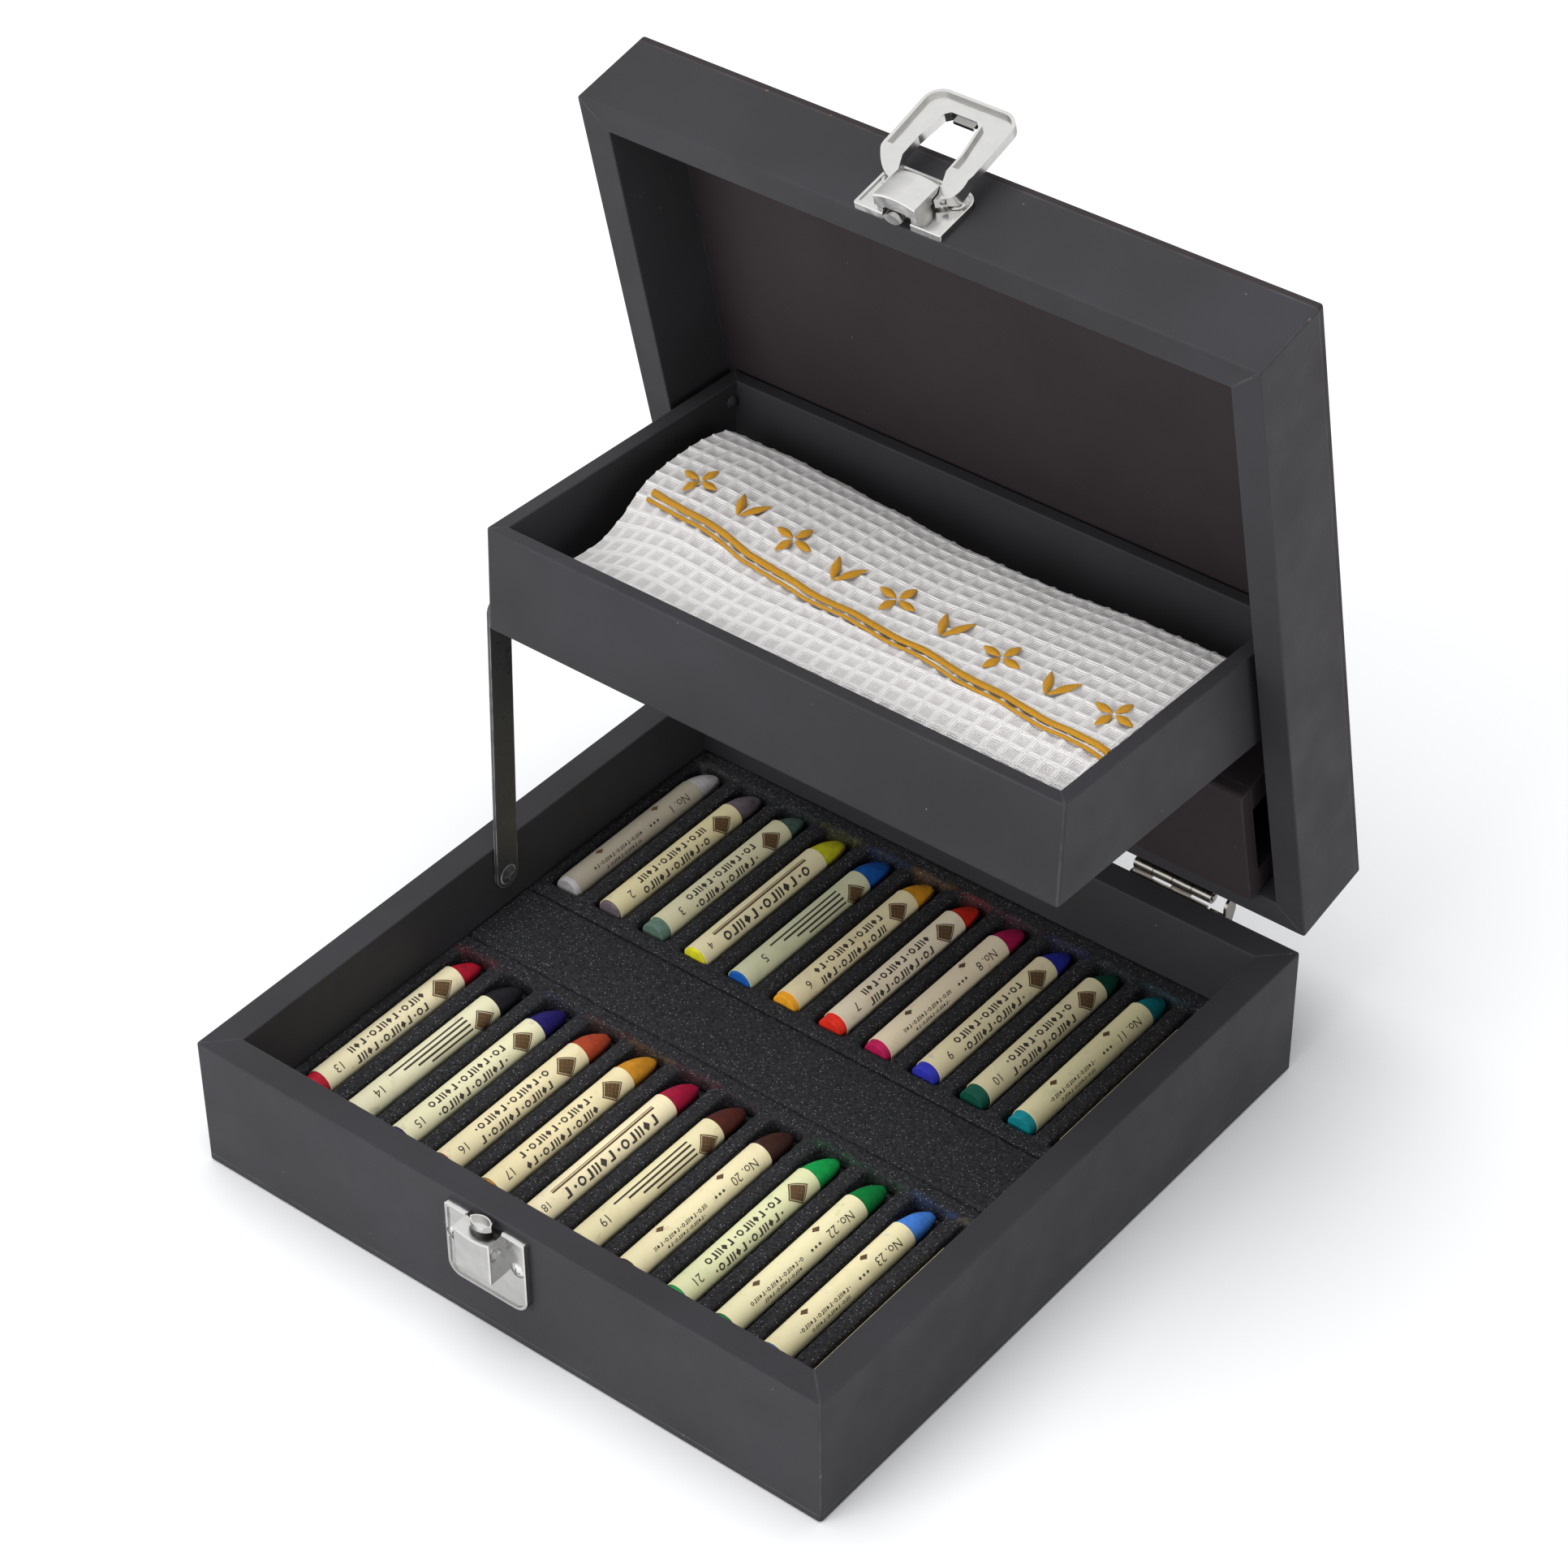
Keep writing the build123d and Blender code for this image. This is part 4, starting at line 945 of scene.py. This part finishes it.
def stripeY(x):
    share = (x - embroidery["left"]) / (embroidery["right"] - embroidery["left"])
    straight = embroidery["leftY"] + (embroidery["rightY"] - embroidery["leftY"]) * share
    wander = 0.0007 * math.sin(x * 70) + 0.0004 * math.sin(x * 210 + 1.0)
    return straight - embroidery["sag"] * 4 * share * (1 - share) * (0.9 - share) + wander


def goldMaterial():
    material, tree, shader = startMaterial("goldThread", 0.42, specular=0.4)
    weave = addNode(tree, "ShaderNodeTexCoord").outputs["UV"]
    parts = addNode(tree, "ShaderNodeSeparateXYZ", {0: weave})
    stitch = threadWave(tree, parts.outputs["X"], embroidery["stitch"])
    fine = noiseOf(tree, placeOf(tree), embroidery["sheenSize"], 4.0, 0.7)
    # partly painted shade between the stitches, partly fine random tone
    shade = maths(tree, "ADD", maths(tree, "MULTIPLY", stitch, 0.35), fine)
    colour = mixed(tree, spread(tree, shade, 0.15, 0.8), cloth["goldDeep"], cloth["gold"])
    tree.links.new(colour, shader.inputs["Base Color"])
    bumped(tree, shader, stitch, embroidery["stitchHeight"], 0.9)
    return material


def stripe(name, offset, width):
    count, across = 420, 6
    rows, places = [], []
    for i in range(count + 1):
        x = embroidery["left"] + (embroidery["right"] - embroidery["left"]) * i / count
        row = []
        ragged = 1 + embroidery["ragged"] * math.sin(i * 2.1)
        for j in range(across + 1):
            side = 2 * j / across - 1
            y = stripeY(x) + offset + side * width / 2 * ragged
            crown = math.sqrt(max(1 - side * side, 0))
            row.append(topPoint(x, y, embroidery["height"] * (0.1 + 0.8 * crown)))
            places.append((x, side))
        rows.append(row)
    return addObject(name, gridMesh(name, rows, places))


def powered(value, power):
    return math.copysign(abs(value) ** power, value)


# a raised, satin-stitched petal or leaf lying on the top layer
def petal(mesh, layer, x, y, size, angle):
    reach, width = size
    rings, sides = 4, 20
    cosine, sine = math.cos(angle), math.sin(angle)
    grid = []
    for ring in range(rings + 1):
        share = ring / rings
        row = []
        for number in range(sides):
            turn = 2 * math.pi * number / sides
            u = share * reach / 2 * powered(math.cos(turn), embroidery["pointed"])
            v = share * width / 2 * powered(math.sin(turn), embroidery["pointed"])
            lift = embroidery["height"] * (0.1 + 0.9 * math.sqrt(max(1 - share * share, 0)))
            point = topPoint(x + u * cosine - v * sine, y + u * sine + v * cosine, lift)
            row.append((mesh.verts.new(point), (u, v)))
        grid.append(row)
    for ring in range(rings):
        for number in range(sides):
            following = (number + 1) % sides
            corners = [grid[ring][number], grid[ring + 1][number],
                       grid[ring + 1][following], grid[ring][following]]
            face = mesh.faces.new([corner[0] for corner in corners])
            face.smooth = True
            for loop, corner in zip(face.loops, corners):
                loop[layer].uv = corner[1]


def makeEmbroidery():
    gold = goldMaterial()
    pieces = [stripe("towelStripeWide", 0.0, embroidery["thick"]),
              stripe("towelStripeFine", -embroidery["apart"], embroidery["thin"])]
    work = bmesh.new()
    layer = work.loops.layers.uv.new("weave")
    number = 0
    x = embroidery["left"] + embroidery["firstMotif"]
    while x < embroidery["right"] - embroidery["lastRoom"]:
        y = stripeY(x) + embroidery["motifRise"]
        if number % 2 == 0:
            for quarter in range(4):
                angle = math.pi / 2 * quarter + embroidery["petalTurn"]
                reach = embroidery["petalReach"]
                petal(work, layer, x + reach * math.cos(angle), y + reach * math.sin(angle),
                      embroidery["petal"], angle)
        else:
            for side in (-1, 1):
                petal(work, layer, x + side * embroidery["leafApart"], y,
                      embroidery["leaf"], math.pi / 2 - side * embroidery["leafLean"])
        number += 1
        x += embroidery["motifPitch"]
    mesh = bpy.data.meshes.new("towelMotifs")
    bmesh.ops.remove_doubles(work, verts=work.verts, dist=0.000001)
    work.to_mesh(mesh)
    work.free()
    pieces.append(addObject("towelMotifs", mesh))
    for piece in pieces:
        piece.data.materials.append(gold)
        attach(piece, "tray")
    return pieces


towelPiece, clothLength = makeTowel()
stitched = makeEmbroidery()
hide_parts("towel")
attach(towelPiece, "tray")
print("towel made")


# generic marks on the sleeves, in two inks
printing = {
    "radius": 0.00472,      # of the paper sleeve, with the ink just proud of it
    "ink": (0.035, 0.026, 0.018, 1.0),
    "bronze": (0.095, 0.048, 0.014, 1.0),
    "longestEdge": 0.0009,
    "turned": 0.0026,       # how far the print is turned towards the right
    "patchSize": 0.0009,
    "emblemLong": 0.0046,
    "emblemWide": 0.0042,
    "emblemRim": 0.86,      # inner edge of the rim, as a share of the outer one
    "latticePitch": (0.00093, 0.00085),
    "latticeCell": (0.00184, 0.00168),
    "firstRear": 1,         # number on the leftmost sleeve of each row
    "firstFront": 13,
}


def inkMaterial(name, colour):
    material, tree, shader = startMaterial(name, 0.55, specular=0.3)
    patches = noiseOf(tree, placeOf(tree), printing["patchSize"], 4.0, 0.7)
    patchy = spread(tree, patches, 0.35, 0.75)
    faded = tuple(0.85 * part + 0.035 for part in colour[:3]) + (1.0,)
    tree.links.new(mixed(tree, patchy, colour, faded), shader.inputs["Base Color"])
    return material


# flat marks: first value runs along the label from its tip end, second round it
def addBar(work, a, c, long, wide):
    corners = [(a, c), (a + long, c), (a + long, c + wide), (a, c + wide)]
    work.faces.new([work.verts.new((p, q, 0)) for p, q in corners])


def addLozenge(work, a, c, long, wide):
    corners = [(a - long / 2, c), (a, c - wide / 2), (a + long / 2, c), (a, c + wide / 2)]
    work.faces.new([work.verts.new((p, q, 0)) for p, q in corners])


def addRing(work, a, c, radius, inner):
    sides = 28
    rows = [[work.verts.new((a + r * math.cos(2 * math.pi * n / sides),
                             c + r * math.sin(2 * math.pi * n / sides), 0))
             for n in range(sides)] for r in (radius, inner)]
    for n in range(sides):
        m = (n + 1) % sides
        work.faces.new([rows[0][n], rows[0][m], rows[1][m], rows[1][n]])


def addNumber(work, text, a, c, size):
    curve = bpy.data.curves.new("digits", "FONT")
    curve.body = text
    curve.size = size
    curve.resolution_u = 3
    carrier = bpy.data.objects.new("digits", curve)
    bpy.context.scene.collection.objects.link(carrier)
    graph = bpy.context.evaluated_depsgraph_get()
    mesh = bpy.data.meshes.new_from_object(carrier.evaluated_get(graph))
    mesh.transform(Matrix.Translation((a, c, 0)))
    work.from_mesh(mesh)
    bpy.data.objects.remove(carrier)
    bpy.data.meshes.remove(mesh)


# a bronze diamond, filled with a close lattice
def emblem(work, a, c):
    long, wide = printing["emblemLong"], printing["emblemWide"]
    outer, inner = [], []
    for radius, row in ((1.0, outer), (printing["emblemRim"], inner)):
        for turn in range(4):
            angle = math.pi * turn / 2
            row.append(work.verts.new((a + long * radius * math.cos(angle),
                                       c + wide * radius * math.sin(angle), 0)))
    for n in range(4):
        m = (n + 1) % 4
        work.faces.new([outer[n], outer[m], inner[m], inner[n]])
    long, wide = printing["latticePitch"]
    for i in range(-3, 4):
        for j in range(-3, 4):
            if abs(i) + abs(j) <= 3 and (i + j) % 2 == 1:
                addLozenge(work, a + i * long, c + j * wide, *printing["latticeCell"])


# a dense ornamental line of strokes, diamonds and rings, in shares of its height
def markLine(work, a, c, count, size, seed=0):
    for number in range(count):
        place = a + number * size * 0.98
        kind = (number * 7 + seed) % 6
        if kind == 5:
            addLozenge(work, place + size * 0.3, c, size * 0.4, size * 0.4)
        elif kind in (0, 3):
            addBar(work, place, c - size / 2, size * 0.3, size)
            addBar(work, place + size * 0.3, c + size * 0.28, size * 0.36, size * 0.22)
        elif kind == 1:
            addLozenge(work, place + size * 0.38, c, size * 0.8, size)
        elif kind == 2:
            addBar(work, place, c - size / 2, size * 0.24, size)
            addBar(work, place + size * 0.46, c - size / 2, size * 0.24, size)
        else:
            addRing(work, place + size * 0.38, c, size * 0.46, size * 0.24)


# the four designs; places and sizes in metres, along the sleeve and round it
def designEmblem(dark, bronze, number):
    emblem(bronze, 0.0085, 0.0006)
    markLine(dark, 0.0150, -0.0019, 14, 0.0025, number)
    markLine(dark, 0.0165, 0.0021, 13, 0.0026, number + 2)
    addNumber(dark, str(number), 0.0530, -0.0012, 0.0042)


def designBold(dark, bronze, number):
    addBar(bronze, 0.0060, -0.0030, 0.0470, 0.0003)
    addBar(bronze, 0.0060, -0.0024, 0.0470, 0.0007)
    markLine(dark, 0.0080, 0.0010, 13, 0.0034, number)
    addNumber(dark, str(number), 0.0560, -0.0012, 0.0036)


def designPlain(dark, bronze, number):
    addNumber(dark, "No. %d" % number, 0.0050, -0.0006, 0.0042)
    for place in range(3):
        addLozenge(dark, 0.0210 + place * 0.0018, 0.0008, 0.0012, 0.0012)
    markLine(dark, 0.0290, 0.0006, 19, 0.0013, number)
    markLine(dark, 0.0310, 0.0028, 15, 0.0012, number + 3)
    for place in range(2):
        addLozenge(bronze, 0.0180 + place * 0.028, -0.0034, 0.0034, 0.0026)


def designRules(dark, bronze, number):
    for rule in range(4):
        addBar(dark, 0.0120, -0.0030 + rule * 0.0017, 0.0340 - rule * 0.005, 0.0007)
    emblem(bronze, 0.0070, 0.0026)
    addNumber(dark, str(number), 0.0500, -0.0020, 0.0044)


def shorten(work):
    for _ in range(4):
        long = [e for e in work.edges if e.calc_length() > printing["longestEdge"]]
        if not long:
            break
        bmesh.ops.triangulate(work, faces=work.faces)
        long = [e for e in work.edges if e.calc_length() > printing["longestEdge"]]
        bmesh.ops.subdivide_edges(work, edges=long, cuts=1)
    bmesh.ops.triangulate(work, faces=work.faces)


# bends flat marks round the label: their first value runs towards the stick's tail
def wrap(work, x, y, z):
    radius = printing["radius"]
    for vertex in work.verts:
        a, c = vertex.co.x, vertex.co.y + printing["turned"]
        angle = c / radius
        vertex.co = Vector((x + radius * math.sin(angle), y - a, z + radius * math.cos(angle)))


# tip end of each label, read from the sleeves' own corners
def labelTips(node):
    tips = [-1.0] * sticks["perRow"]
    for vertex in nodes[node].data.vertices:
        number = int((vertex.co.x + rowReach) / sticks["pitch"])
        tips[number] = max(tips[number], vertex.co.y)
    return tips


def makePrint(row, node, designs):
    low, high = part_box(node)
    z = (low.z + high.z) / 2
    first = printing["firstRear"] if row == "rear" else printing["firstFront"]
    inks = {"Ink": bmesh.new(), "Bronze": bmesh.new()}
    for number, tip in enumerate(labelTips(node)):
        dark, bronze = bmesh.new(), bmesh.new()
        designs[number](dark, bronze, number + first)
        x = (number + 0.5) * sticks["pitch"] - rowReach
        for flat, kind in ((dark, "Ink"), (bronze, "Bronze")):
            shorten(flat)
            wrap(flat, x, tip, z)
            mesh = bpy.data.meshes.new("marks")
            flat.to_mesh(mesh)
            inks[kind].from_mesh(mesh)
            bpy.data.meshes.remove(mesh)
            flat.free()
    for kind, work in inks.items():
        mesh = bpy.data.meshes.new(row + "Label" + kind)
        work.to_mesh(mesh)
        work.free()
        colour = printing["ink"] if kind == "Ink" else printing["bronze"]
        mesh.materials.append(inkMaterial(row + kind, colour))
        piece = addObject(row + "Label" + kind, mesh)
        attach(piece, "base")


makePrint("rear", "rear_row_labels",
          [designPlain, designEmblem, designEmblem, designBold, designRules, designEmblem,
           designEmblem, designPlain, designEmblem, designEmblem, designPlain, designEmblem])
makePrint("front", "front_row_labels",
          [designEmblem, designRules, designEmblem, designEmblem, designEmblem, designBold,
           designRules, designPlain, designEmblem, designPlain, designPlain, designEmblem])
print("label print made")
